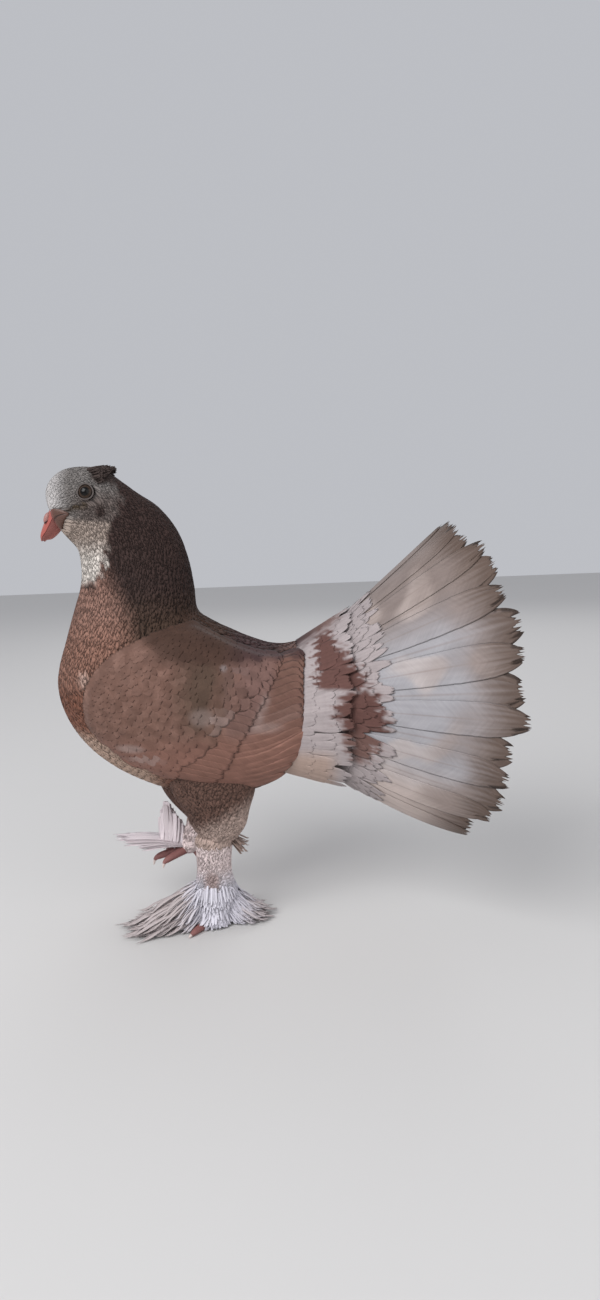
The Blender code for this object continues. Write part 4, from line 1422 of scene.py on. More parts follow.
@dataclass(frozen=True)
class BodyCoat:
    """The feathers of head, neck and trunk."""

    plumage: Plumage
    eye: EyePlan = EyePlan()
    gape: GapePlan = GapePlan()
    surface: BodySurface = BodySurface()
    zones: tuple[Zone, ...] = (
        Zone("coat_face", "head_feathers", (0.05, 4.4), (0.85, 1.0), 5.6, 0.94, (0.35, 0.45), (0.18, 0.23)),
        Zone("coat_head", "head_feathers", (4.4, 8.6), (1.0, 1.3), 5.6, 0.94, (0.45, 0.55), (0.23, 0.29)),
        Zone("coat_nape", "neck_feathers", (8.6, 11.5), (1.3, 1.5), 5.8, 0.98, (0.55, 0.65), (0.29, 0.34)),
        Zone("coat_neck", "neck_feathers", (11.5, 14.3), (1.5, 1.9), 5.8, 1.0, (0.65, 0.85), (0.34, 0.42)),
        Zone(
            "coat_trunk", "body_feathers", (14.3, 22.0), (1.9, 2.4), 5.2, 1.06,
            (0.85, 1.1), (0.42, 0.52), TRUNK,
        ),
    )
    under_wing: Span = (0.12, 0.93)  # shares of the wing's height that feathers leave out
    behind_front: float = 0.25  # stations behind the wing's front where that begins
    past_end: float = 0.28  # stations that a feather may run past the body's end
    sample: float = 0.75  # share of its length where a feather takes its colour
    by_place: float = 0.45  # share of the markings at each place of the feather itself
    uneven: float = 0.035
    turn: float = 0.10

    def open_places(self, u: Floats, v: Floats) -> Flags:
        """Places that are not an eye, the corner of the mouth or deep under a wing."""
        points = self.surface.point(u, v)
        keep = ~self.gape.inside(u, v)
        for side in Side:
            keep &= np.linalg.norm(points - self.eye.place(side)[0], axis=-1) > self.eye.bare
        plan = WingSurface.plan
        down = plan.share_down(v)
        behind = u > plan.front_station(np.clip(down, 0, 1)) + self.behind_front
        low, high = self.under_wing
        return keep & ~((down > low) & (down < high) & behind)

    def build(self) -> None:
        """Grows each zone."""
        for seed, zone in enumerate(self.zones):
            self.build_zone(zone, seed)

    def build_zone(self, zone: Zone, seed: int) -> None:
        """Grows one zone, its feathers sized by their station and cut at the body's end.

        Args:
            zone: The zone.
            seed: Seed of its feathers' differences.
        """
        rng = dice(seed)
        markings, finishes = self.plumage.markings, self.plumage.finishes
        u, v = scatter(self.surface, zone.stations, zone.spacing, self.open_places)
        gap = np.interp(u, zone.stations, zone.spacing) * rng.uniform(0.88, 1.12, len(u))
        stretch = self.surface.stretch(u, v)
        run = np.minimum(gap * zone.length / stretch, BODY_END + self.past_end - u)
        shown = self.surface.point(np.minimum(u + self.sample * run, BODY_END), v)

        def paint(p: Floats, s: Floats, t: Floats, colours: Floats) -> Floats:
            """The feather's own colour, with nearly half of the markings by place."""
            return mix(colours, markings.colour(p), self.by_place)

        feathers = Feathers(
            u, v, vary(markings.colour(shown), self.uneven, rng), gap * zone.half, run * stretch, edge=1.02,
            yaw=rng.normal(0, self.turn, len(u)), base=-np.interp(u, zone.stations, zone.depth),
            lift=np.interp(u, zone.stations, zone.lift),
        )
        material = finishes.small if zone.slot == "head_feathers" else finishes.body
        coat(zone.name, zone.slot, self.surface, zone.vane, feathers, material, seed, paint)


@dataclass(frozen=True)
class Crest:
    """The small peak of dark feathers behind the crown."""

    plumage: Plumage
    count: int = 260
    stations: Span = (5.5, 6.8)
    half_angle: float = 44.0
    end_x: float = -42.0
    half: float = 1.7
    root_depth: float = 0.9

    def build(self) -> None:
        """Rows of narrow feathers that leave the crown and run straight back.

        They leave the surface, so that they rise with their length times how far the crown
        falls away below a level line.
        """
        rng = dice(31)
        surface, vane, count = BodySurface(), CREST, self.count
        low, high = self.stations
        u = rng.uniform(low, high, count)
        half_angle = self.half_angle
        v = np.radians(rng.uniform(-half_angle, half_angle, count) * (0.45 + 0.55 * (u - low) / 1.3))
        root = surface.point(u, v)
        length = np.clip((self.end_x - root[:, 0]) * rng.uniform(0.88, 1.04, count), 4.0, 10.5)
        length = (length * (1 - 0.75 * np.abs(v)))[:, None, None]
        along, _, normal = surface.tangents(u, v)
        across = -root[:, 1:2] / 12.0
        back = np.concatenate([np.ones((count, 1)), -0.75 * across, 0.05 * np.ones((count, 1))], 1)
        way = unit(unit(along) * 0.45 * np.abs(across) + back + rng.normal(0, 0.03, (count, 3)))
        lateral = unit(np.cross(way, normal))
        up = np.cross(lateral, way)[:, None, None]
        s, t = vane.shares()[None, :, None], np.linspace(-1, 1, vane.columns)
        wide = self.half * vane.width(s) * t
        line = (root - normal * self.root_depth)[:, None] + way[:, None] * (s * length)
        line = line[:, :, None] + lateral[:, None, None] * wide[..., None]
        top = line + up * (0.5 * s - 0.35 * t**2)[..., None]
        colours = np.broadcast_to(flock(Hue.CREST, count, 0.12, rng)[:, None, None], top.shape)
        own, places = (wide, s * length), surface.bake_place(u, v)
        small = self.plumage.finishes.small
        made = join_vanes("crest", top, top - up * vane.thickness, colours, places, own, small)
        log.info("crest: %d feathers", count)


# Eyes and bill


def ring_ways(axis: Floats, around: int) -> Floats:
    """Ways of length one square to an axis, in even steps round it."""
    first = unit(np.cross(axis, np.array([0.0, 0.0, 1.0])))
    turn = turns(around)[:, None]
    return np.cos(turn) * first + np.sin(turn) * np.cross(axis, first)


@dataclass(frozen=True)
class Eyes:
    """Both eyes: a glossy ball with iris and pupil, and a wrinkled bare ring round it."""

    finishes: Finishes
    plan: EyePlan = EyePlan()

    def build(self) -> None:
        """Builds each side."""
        for side in Side:
            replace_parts(self.build_ball(side), f"eye_{side.word}")
            self.build_lid(side)
        log.info("eyes: two, with lids")

    def build_ball(self, side: Side) -> Piece:
        """The ball: rings by their angle away from the look, with a slight bulge of the cornea."""
        plan, around = self.plan, 48
        place, look = plan.place(side)
        away = np.radians(np.concatenate([np.linspace(1.5, 48, 32), np.linspace(54, 176, 16)]))[:, None]
        radius = plan.radius * (1 + 0.03 * np.clip(1 - away / 0.7, 0, 1))
        out = (radius * np.sin(away))[..., None] * ring_ways(look, around)
        rings = place - look * plan.sunk + out + (radius * np.cos(away))[..., None] * look
        degrees = np.degrees(away)
        turn = turns(around)[None]
        fibre = 1 + 0.22 * np.sin(turn * 24 + 3 * np.sin(turn * 5)) * smooth(20, 30, degrees)
        iris = mix(Hue.IRIS_IN, Hue.IRIS_OUT, smooth(26, 38, degrees) + 0 * turn) * fibre[..., None]
        colour = cover(
            Hue.PUPIL,
            (iris, smooth(plan.pupil_edge + 1, plan.pupil_edge + 4, degrees) + 0 * turn),
            (Hue.EYE_RIM, smooth(plan.iris_edge - 2, plan.iris_edge + 3, degrees) + 0 * turn),
        )
        return tube_mesh(f"eye_ball_{side.word}", rings, self.finishes.eye, colour)

    def build_lid(self, side: Side) -> Piece:
        """The ring: a torus with folds across it, pressed on the plumage's face."""
        place, look = self.plan.place(side)
        count, around = 96, 14
        turn, ring = turns(count)[:, None], turns(around)[None]
        out = ring_ways(look, count)
        thick = 0.5 * (1 + 0.10 * np.sin(turn * 30))
        radius = self.plan.lid + 0.15 * np.sin(turn * 3) + thick * np.cos(ring)
        height = 0.15 + 0.85 * thick * np.sin(ring)
        points = place + radius[..., None] * out[:, None] + height[..., None] * look
        points = points.reshape(-1, 3)
        quads = grid_quads(count + 1, around, True) % (count * around)
        middle = (place + self.plan.lid * out)[quads[:, 0] // around]
        quads = outward(points, quads, middle)
        return new_mesh(f"eyelid_{side.word}", points, quads, self.finishes.lid)


@dataclass(frozen=True)
class Bill:
    """Both halves of the bill, the cere with its nostrils and the bare corners of the mouth.

    The rows from root to tip give the top's x and z, the bottom's x and z, and half the width.
    """

    finishes: Finishes
    gape: GapePlan = GapePlan()
    rows: Rows = (
        (-83.3, 258.7, -78.0, 245.4, 4.5),
        (-86.0, 253.4, -80.4, 243.0, 3.9),
        (-88.6, 247.8, -83.6, 240.8, 3.0),
        (-90.2, 243.4, -86.8, 240.2, 2.0),
        (-90.2, 240.0, -88.4, 238.8, 0.7),
    )
    mouth: float = 0.12
    mouth_gap: float = 0.25
    cere: Place = (-84.95, 1.9, 253.2)
    cere_radii: Place = (1.9, 2.0, 3.6)
    cere_turn: float = math.radians(24)
    nostril: Place = (-85.45, 3.35, 250.9)
    nostril_radii: Place = (0.42, 0.5, 1.5)
    nostril_turn: float = math.radians(24) + 0.5

    def build(self) -> None:
        """Builds every piece of the bill."""
        for name, upper in (("upper", True), ("lower", False)):
            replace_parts(self.build_half(name, upper), f"bill_{name}")
        for side in Side:
            for name, place, radii, turn, hue in (
                ("cere", self.cere, self.cere_radii, self.cere_turn, Hue.CERE),
                # the nostril ellipsoids are dark as painted shade of the openings
                ("nostril", self.nostril, self.nostril_radii, self.nostril_turn, Hue.NOSTRIL),
            ):
                x, y, z = place
                centre = (x, -side.value * y, z)
                self.ellipsoid(f"{name}_{side.word}", centre, radii, turn, hue)
            self.build_gape(side)
        log.info("bill: two halves, ceres, nostrils and corners of the mouth")

    def build_half(self, name: str, upper: bool) -> Piece:
        """Half of the bill, pinker at its root and paler at its tip. It is painted lighter where it faces
        straight up or down, a painted highlight along the ridge; the lower half's darker ground is partly
        its own tone and partly painted shade.

        Its sections are ellipses over the plan's rows, cut flat at the mouth line.

        Args:
            name: The half's name.
            upper: Whether it is the upper one.

        Returns:
            The object.
        """
        share = np.linspace(-0.12, 3.96 if upper else 3.62, 44)
        row = spline(np.array(self.rows), share)
        middle, half = (row[:, 0:2] + row[:, 2:4]) / 2, (row[:, 0:2] - row[:, 2:4]) / 2
        tall = np.linalg.norm(half, axis=-1)
        limit = np.arccos(self.mouth + self.mouth_gap / 2 / tall * (1 if upper else -1))
        t = np.linspace(0, 1, 33)
        low, high = (-limit, limit) if upper else (limit, 2 * math.pi - limit)
        angle = low[:, None] + (high - low)[:, None] * t
        up, out = np.cos(angle), np.sin(angle)
        x, z = (middle[:, k : k + 1] + half[:, k : k + 1] * up for k in (0, 1))
        arc = np.stack([x, row[:, 4:] * out, z], -1)
        back = t[1:-1:3][::-1, None]
        flat = arc[:, None, -1] * back + arc[:, None, 0] * (1 - back)
        rings = np.concatenate([arc, flat], 1)
        # painted highlight where the bill faces straight up or down
        ridge = smooth(0.5, 1.0, np.abs(np.concatenate([up, 0 * flat[..., 0]], 1)))
        tip = 0.7 * smooth(2.6, 4.0, share)[:, None] + 0 * ridge
        colour = cover(Hue.BILL_SIDE if upper else Hue.BILL_LOW, (Hue.BILL, ridge), (Hue.BILL_TIP, tip))
        return tube_mesh(f"bill_{name}_fine", rings, self.finishes.horn, colour)

    def ellipsoid(
        self, name: str, centre: tuple[float, ...], radii: tuple[float, ...], turn: float, hue: Hue
    ) -> Piece:
        """A small ellipsoid turned about Y.

        Args:
            name: The piece's name.
            centre: Its middle.
            radii: Half its size in x, y and z before it is turned.
            turn: The turn in radians.
            hue: Its colour.

        Returns:
            The object.
        """
        away = np.linspace(0.05, math.pi - 0.05, 18)[:, None]
        round_way = turns(28)[None]
        x = radii[0] * np.sin(away) * np.cos(round_way)
        y = radii[1] * np.sin(away) * np.sin(round_way)
        z = radii[2] * np.cos(away) + 0 * round_way
        c, s = math.cos(turn), math.sin(turn)
        rings = np.stack([c * x + s * z, y, -s * x + c * z], -1) + np.array(centre)
        return tube_mesh(name, rings, self.finishes.horn, np.broadcast_to(hue.linear, rings.shape))

    def build_gape(self, side: Side) -> Piece:
        """The bare corner: a shell from the upper to the lower line with a crease between them, painted
        dark, partly the mouth line's own colour and partly painted shade.
        """
        rows, columns, thickness = 30, 25, 0.9
        a, b = np.linspace(0, 1, rows)[:, None], side.value * np.linspace(-1, 1, columns)[None]
        lines = (self.gape.upper, self.gape.middle, self.gape.lower)
        first, second, third = (spline(np.array(line), a[:, 0] * 4)[:, None] for line in lines)
        ends = np.where(b[..., None] < 0, first, third)
        spots = second + (ends - second) * np.abs(b)[..., None]
        u, v = spots[..., 0], side.value * np.radians(spots[..., 1])
        rim = np.maximum(np.abs(b) ** 4, (a > 0.97) * 1.0)
        crease = band(b, 0.0, 0.06)
        height = 0.35 - 1.3 * rim - 0.55 * crease * (1 - 0.5 * rim)
        surface = BodySurface()
        top, below = (surface.place(u, v, height - deep)[None] for deep in (0.0, thickness))
        colour = cover(
            Hue.MOUTH,
            (Hue.MOUTH_REAR, smooth(0.15, 0.55, a) + 0 * b),
            # the crease painted dark: mouth line and painted shade
            (Hue.CREASE, 0.85 * crease + 0 * a),
        )[None]
        spot = surface.bake_place(u[:1, 0], v[:1, 0])
        flat = np.zeros(top.shape[:3])
        return join_vanes(f"gape_{side.word}", top, below, colour, spot, (flat, flat), self.finishes.horn)


# Wings


@dataclass(frozen=True)
class WingTier:
    """A row of wing feathers: root and tip stations, count, angles in degrees, half width, lift."""

    name: str
    start: float
    end: float
    count: int
    high: float
    low: float
    half: float
    lift: float


@dataclass(frozen=True)
class Wings:
    """Both folded wings: a closed base over the body and tiers of feathers on it."""

    plumage: Plumage
    surface: WingSurface = WingSurface()
    tiers: tuple[WingTier, ...] = (
        WingTier("secondaries", 18.9, 21.85, 14, 31, 107, 5.94, 0.05),
        WingTier("greater_coverts", 17.5, 19.8, 21, 33, 125, 4.32, 0.02),
    )
    primaries: int = 5
    primary_half: float = 5.6
    root_depth: float = 0.7
    tilt: float = 0.16
    base_skin: float = 0.45
    base_sunk: float = 0.85
    covert_rows_end: float = 4.1
    covert_end_station: float = 18.1

    def build(self) -> None:
        """Builds each side."""
        for side in Side:
            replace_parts(self.build_base(side), f"wing_{side.word}")
            for k, tier in enumerate(self.tiers):
                self.build_tier(side, tier, 60 + k + 10 * side.value)
            self.build_primaries(side)
            self.build_small_coverts(side)

    def grow(self, name: str, vane: Vane, feathers: Feathers, seed: int, paint: Paint) -> None:
        """A batch of the wing's feathers."""
        finish = self.plumage.finishes.wing
        coat(name, "wing_feathers", self.surface, vane, feathers, finish, seed, paint)

    def build_base(self, side: Side) -> Piece:
        """The wing's own body: a closed shell under its feathers. Its colour is the wing's markings
        darkened to 0.8, painted shade where it shows between the feathers.
        """
        plan, under = self.surface.plan, BodySurface()
        rows, columns = 60, 44
        down = np.linspace(0, 1, columns)[None, :: side.value]
        front = plan.front_station(down)
        u = front + (plan.rear - 0.25 - front) * np.linspace(0, 1, rows)[:, None]
        v = side.value * (plan.top + (plan.low - plan.top) * down) + 0 * u
        over = plan.shown(u, v)
        top = under.place(u, v, over - self.base_sunk)
        low = np.minimum(over - self.base_sunk - self.base_skin, plan.clear)
        below = under.place(u, v, low)
        # times 0.8: painted shade under the wing's feathers
        colour = self.plumage.markings.wing(top) * 0.8
        spots, flat = under.bake_place(u, v)[None], np.zeros((1, rows, columns))
        finish, own = self.plumage.finishes.wing, (flat, flat)
        name, colour = f"wing_base_{side.word}", colour[None]
        made = join_vanes(name, top[None], below[None], colour, spots, own, finish)
        return made

    def build_tier(self, side: Side, tier: WingTier, seed: int) -> None:
        """A tier of large feathers, each from its root to its tip."""
        rng, markings = dice(seed), self.plumage.markings
        angle = np.radians(np.linspace(tier.high, tier.low, tier.count))
        u = tier.start + rng.uniform(-0.06, 0.06, tier.count)
        tip_u = tier.end + rng.uniform(-0.08, 0.0, tier.count)
        v, tip_v = side.value * angle, side.value * (angle + math.radians(2.0))
        middle = self.surface.place((u + tip_u) / 2, v, 0 * u)
        feathers = Feathers(
            u, v, vary(markings.wing(middle), 0.05, rng), tier.half, tip=(tip_u, tip_v), edge=1.03,
            base=-self.root_depth, lift=tier.lift + self.root_depth, tilt=-self.tilt * side.value,
        )
        paint = markings.wing_streaks(seed, 0.08, 0.7)
        self.grow(f"{tier.name}_{side.word}", WING_TIER, feathers, seed, paint)

    def build_primaries(self, side: Side) -> None:
        """The narrow folded primaries along the wing's low edge."""
        k = np.arange(self.primaries)
        u, v = 18.9 + 0.10 * k, side.value * np.radians(112 + 4.6 * k)
        tip = (21.98 - 0.17 * k, side.value * np.radians(111 + 7.4 * k))
        colour = np.tile(Hue.WING_LOW.linear, (self.primaries, 1))
        feathers = Feathers(
            u, v, colour, self.primary_half, tip=tip, edge=1.15,
            base=-self.root_depth, lift=1.3, tilt=-self.tilt * side.value,
        )
        paint = self.plumage.markings.wing_streaks(95, 0.12)
        self.grow(f"primaries_{side.word}", PRIMARY, feathers, 90 + side.value, paint)

    def covert_rows(self, side: Side, rng: Dice) -> tuple[Floats, ...]:
        """Staggered rows of small coverts: u, v, the step between rows and the step across."""
        plan, end = self.surface.plan, self.covert_rows_end
        found = []
        level, k = -0.35, 0
        while level < end:
            along, across = 2.2 + 0.6 * level, 2.7 + 0.7 * level
            down = np.linspace(0.0, 1.0, 400)
            v = side.value * (plan.top - 0.05 + (plan.low - plan.top + 0.03) * down)
            front = plan.front_station(down)
            u = front + level * (self.covert_end_station - front) / end
            steps = np.linalg.norm(np.diff(self.surface.point(u, v), axis=0), axis=-1)
            run = np.concatenate([[0], np.cumsum(steps)])
            marks = np.arange((0.25 + 0.5 * (k % 2)) * across, run[-1], across)
            marks = marks + rng.normal(0, 0.12 * across, len(marks))
            spot_u = np.interp(marks, run, u) + rng.normal(0, 0.02, len(marks))
            same = np.ones(len(marks))
            found.append((spot_u, np.interp(marks, run, v), along * same, across * same))
            stretch = self.surface.stretch(u[200], v[200])
            level += along / stretch * end / (self.covert_end_station - plan.front)
            k += 1
        return tuple(np.concatenate(a) for a in zip(*found))

    def build_small_coverts(self, side: Side) -> None:
        """The small coverts of the wing's front half, in shingled rows."""
        rng, markings = dice(70 + side.value), self.plumage.markings
        u, v, along, across = self.covert_rows(side, rng)
        colour = vary(markings.wing(self.surface.point(u, v)), 0.06, rng)
        length = along * 3.3 * rng.uniform(0.85, 1.1, len(u))
        half = across * 0.9 * rng.uniform(0.85, 1.1, len(u))
        yaw = rng.normal(0, 0.06, len(u))
        feathers = Feathers(u, v, colour, half, length, yaw=yaw, base=-0.08, lift=0.12, edge=1.03)
        paint = markings.wing_streaks(85, 0.07, 0.5)
        self.grow(f"small_coverts_{side.word}", WING_COVERT, feathers, 80 + side.value, paint)


# Tail


@dataclass(frozen=True)
class CovertRow:
    """A row of tail coverts: on the rump or the fan, root's u, length, count, half width, height."""

    on_rump: bool
    start: float
    length: float
    count: int
    half: float
    base: float


@dataclass(frozen=True)
class Tail:
    """The tail fan: two layers of flight feathers, coverts over their roots and down inside."""

    plumage: Plumage
    surface: FanSurface = FanSurface()
    coverts: tuple[CovertRow, ...] = (
        CovertRow(False, 56.0, 45.0, 130, 2.9, 0.55),
        CovertRow(False, 54.0, 39.0, 120, 2.8, 0.75),
        CovertRow(False, 52.0, 33.0, 112, 2.8, 0.95),
        CovertRow(False, 50.0, 25.0, 104, 2.7, 1.15),
        CovertRow(True, 0.30, 26.0, 116, 2.6, 0.1),
        CovertRow(True, 0.12, 24.0, 106, 2.6, 0.15),
        CovertRow(True, -0.08, 20.0, 94, 2.6, 0.15),
    )
    ring_count: int = 900
    dome_spacing: float = 2.1

    def build(self) -> None:
        """Builds every layer; the flight feathers stand for the fan's solids."""
        plan = self.surface.plan
        side = plan.side_feathers
        outer = plan.step * np.arange(-side, side + 1)
        inner = plan.step * (np.arange(-side, side) + 0.5)
        first = self.build_flight("tail_outer", outer, 0.2, 9.6, 0.0, 40)
        self.build_flight("tail_inner", inner, -0.2, 13.0, -2.0, 41)
        names = [f"tail_fan_{word}_{level}" for word in ("left", "right") for level in ("high", "low")]
        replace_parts(first, "tail_fan_top", *names)
        for k, row in enumerate(self.coverts):
            self.build_covert_row(k, row)
        self.build_down()

    def build_flight(
        self, name: str, angles: Floats, height: float, half: float, extra: float, seed: int
    ) -> Piece:
        """One layer of flight feathers.

        Args:
            name: The piece's name.
            angles: The feathers' turns round the fan.
            height: Their height over the cone.
            half: Their half width.
            extra: How much longer they are than the plan's reach.
            seed: Seed of their differences.

        Returns:
            The layer.
        """
        plan, rng, count = self.surface.plan, dice(seed), len(angles)
        angles = angles + rng.normal(0, 0.012, count)
        length = (plan.reach(angles) + extra) * rng.uniform(0.955, 1.0, count) - plan.root
        colour = np.tile(Hue.TAIL_WHITE.linear, (count, 1))
        feathers = Feathers(np.full(count, plan.root), angles, colour, half, length, base=height)
        finish, paint = self.plumage.finishes.tail, self.plumage.markings.tail
        return coat(name, "tail_feathers", self.surface, TAIL_FLIGHT, feathers, finish, seed, paint)

    def build_covert_row(self, k: int, row: CovertRow) -> None:
        """A row of coverts over the roots of the flight feathers.

        Args:
            k: The row's number.
            row: The row.
        """
        plan, rng, count = self.surface.plan, dice(44 + k), row.count
        limit = plan.step * (plan.side_feathers + 0.4)
        v = np.linspace(-limit, limit, count) + rng.normal(0, 0.02, count)
        colour = flock(np.ones(3), count, 0.04, rng)
        u = row.start + rng.uniform(-0.02, 0.02, count)
        length = row.length * rng.uniform(0.8, 1.0, count)
        half = row.half * rng.uniform(0.85, 1.15, count)
        yaw = rng.normal(0, 0.05, count)
        feathers = Feathers(u, v, colour, half, length, yaw=yaw, base=row.base, lift=0.15, edge=1.02)
        surface = RumpSurface() if row.on_rump else self.surface
        finish, paint = self.plumage.finishes.cover, self.plumage.markings.tail_covert
        name = f"tail_coverts_{k}"
        coat(name, "tail_feathers", surface, TAIL_COVERT, feathers, finish, 46 + k, paint)

    def build_down(self) -> None:
        """White down inside the fan, painted greyer as painted shade: a ring at the roots of the vanes and
        a dome over the rump.
        """
        rng = dice(48)
        count, finish = self.ring_count, self.plumage.finishes.muff
        # the down's grey is painted shade inside the fan
        colour = flock(Hue.DOWN, count, 0.05, rng)
        u, v = rng.uniform(50.0, 58.0, count), rng.uniform(-math.pi, math.pi, count)
        length, half = rng.uniform(14.0, 34.0, count), rng.uniform(1.0, 1.9, count)
        yaw = rng.normal(0, 0.15, count)
        base, lift = -rng.uniform(3.0, 9.0, count), -rng.uniform(0.0, 3.0, count)
        ring = Feathers(u, v, colour, half, length, yaw=yaw, base=base, lift=lift)
        coat("tail_down", "tail_feathers", self.surface, DOWN, ring, finish, 49)

        dome = DownSurface()
        u, v = scatter(dome, (0.0, 0.97), (self.dome_spacing, self.dome_spacing))
        count = len(u)
        colour = flock(Hue.DOWN, count, 0.05, rng)
        length = np.minimum(rng.uniform(9.0, 13.0, count), (0.99 - u) * dome.stretch(u, v))
        half, yaw = rng.uniform(1.1, 1.7, count), rng.normal(0, 0.12, count)
        tufts = Feathers(u, v, colour, half, length, yaw=yaw, base=-1.0, lift=1.4)
        coat("vent_down", "tail_feathers", dome, DOWN, tufts, finish, 50)


# Legs and feet


@dataclass(frozen=True)
class LegPlan:
    """The rows of both legs as x, y, z, half x, half y, from the top down."""

    thigh_left: Rows = (
        (5, -15, 112, 22, 12), (5, -15.5, 98, 26, 14), (5.8, -15.5, 87, 25, 14.5),
        (7.3, -15.5, 76, 20, 13.5), (7.8, -14, 65, 16.4, 12), (7.8, -12.5, 57, 11.2, 9.6),
    )
    shank_left: Rows = (
        (6.4, -13.0, 64, 8.6, 8.0),
        (4.4, -12.4, 56.6, 12, 9.6), (3.4, -11, 48, 11.2, 9.2), (2.8, -8.6, 36, 10.8, 8.8),
        (2.6, -6.6, 27, 12.2, 9.8), (2.6, -5.6, 21.4, 14, 11), (2.5, -5.5, 13, 12.4, 10),
        (2.4, -5.4, 6, 9.6, 8.4), (2.4, -5.4, 1.2, 7.6, 7),
    )
    thigh_right: Rows = (
        (-4, 15, 112, 18, 12), (-9, 16.5, 98, 22, 13.5), (-11, 18.5, 86, 22, 13),
        (-9.5, 20, 73, 18, 12), (-4.5, 20, 60, 12, 9.6),
    )
    shank_right: Rows = (
        (-4.4, 20, 66, 8.4, 7.4),
        (-4.6, 20, 59.6, 11.6, 9.2), (-6.5, 19.6, 55, 10.8, 8.4), (-10, 19.2, 49, 9.8, 7.6),
        (-12, 18.8, 44.4, 8.2, 6.6), (-15, 18.6, 40, 7.6, 6.2), (-16.4, 18.5, 36.6, 4.6, 4.4),
    )
    skin_depth: float = 1.6
    thigh_gap: float = 1.5
    shank_gap: float = 1.15
    ankle: Span = (2.4, -5.4)
    raised_toes: Place = (-14.5, 18.5, 39.6)
    reach: Rows = (
        (-75, 30), (-45, 38), (-10, 52), (4, 62), (16, 65), (28, 58), (38, 36), (52, 19),
        (140, 14), (166, 34), (190, 39), (240, 34), (285, 30),
    )
    toes: Rows = ((10, 38.0), (58, 25.0), (-34, 29.0), (184, 20.0))


@dataclass
class Spray:
    """Loose feathers of a foot, with a value for each.

    Headings are radians on the floor, 0 forward and a quarter turn to the left; rise is how
    far a feather bends up at half its length and end_z the height of its tip.
    """

    root: Floats
    heading: Floats
    length: Floats
    half: Floats
    rise: Floats
    end_z: Floats

    def __post_init__(self) -> None:
        """Gives each feather the values that all of them share."""
        for name in ("half", "rise", "end_z"):
            setattr(self, name, np.broadcast_to(getattr(self, name), self.heading.shape))

    def joined(self, other: "Spray") -> "Spray":
        """Both sprays as one."""
        return Spray(*(np.concatenate([value, vars(other)[name]]) for name, value in vars(self).items()))


LEVEL_FROM = 0.86  # share of a foot feather's length where it has come down to its tip's height
LOWEST_TOP = 0.35  # heights over the floor that feathers keep, on top and below
LOWEST_UNDER = 0.1


def muff_mesh(
    name: str, spray: Spray, colour: Floats, vane: Vane, material: Material, seed: int
) -> Piece:
    """Feathers of the feet, which leave their roots and spread, at their ends level.

    A feather runs straight on its heading, bent sideways by chance as s squared; its height
    goes from its root's to its tip's and bulges up as a half sine wave.

    Args:
        name: The piece's name.
        spray: The feathers.
        colour: Linear colours, one for each.
        vane: Their form.
        material: What they are made of.
        seed: Seed of the small differences.

    Returns:
        The object.
    """
    rng = dice(seed)
    heading, root = spray.heading, spray.root
    count = len(heading)
    s = vane.shares()[None]
    run = spray.length[:, None] * s
    way = np.stack([-np.cos(heading), -np.sin(heading), 0 * heading], -1)
    bend = rng.normal(0, 0.05, (count, 1)) * run * s
    lateral = np.stack([np.sin(heading), -np.cos(heading), 0 * heading], -1)
    line = root[:, None] + way[:, None] * run[..., None] + lateral[:, None] * bend[..., None]
    part = np.clip(s / LEVEL_FROM, 0, 1)
    line[..., 2] = root[:, 2:] + (spray.end_z[:, None] - root[:, 2:]) * part
    line[..., 2] += spray.rise[:, None] * np.sin(part * math.pi)
    t = np.linspace(-1, 1, vane.columns)
    s, run, half = s[..., None], run[..., None], spray.half[:, None, None]
    wide = half * vane.width(s) * t
    back = run * vane.shortened(s, count, rng)
    ahead = unit(np.gradient(line, axis=1))
    up = unit(np.cross(ahead, lateral[:, None]))[:, :, None]
    fall = vane.camber * half * vane.width(s) * t**2
    top = line[:, :, None] + lateral[:, None, None] * wide[..., None] - ahead[:, :, None] * back[..., None]
    top = top - up * fall[..., None]
    top[..., 2] = np.maximum(top[..., 2], LOWEST_TOP)
    thick = vane.thickness * (1 - 0.6 * s) * (1 - 0.5 * t**2)
    below = top - up * thick[..., None]
    below[..., 2] = np.maximum(below[..., 2], LOWEST_UNDER)
    top, below, wide = top[:, :, ::-1], below[:, :, ::-1], wide[:, :, ::-1]
    colours = np.broadcast_to(colour[:, None, None], top.shape)
    spot = 0.5 + 0.4 * root[:, :2] / 60
    return join_vanes(name, top, below, colours, spot, (wide, run - back), material)


def tube_rings(path: Floats, radii: Floats, around: int) -> Floats:
    """Round rings square to a path, kept from turning about it.

    Args:
        path: Points of the path.
        radii: A radius for each.
        around: Points of a ring.

    Returns:
        Rings by points by three.
    """
    way = unit(np.gradient(path, axis=0))
    side = unit(np.cross(way, np.array([0.03, 0.0, 1.0])))
    up = np.cross(side, way)
    turn = turns(around)[None, :, None]
    circle = np.cos(turn) * side[:, None] + np.sin(turn) * up[:, None]
    return path[:, None] + circle * radii[:, None, None]


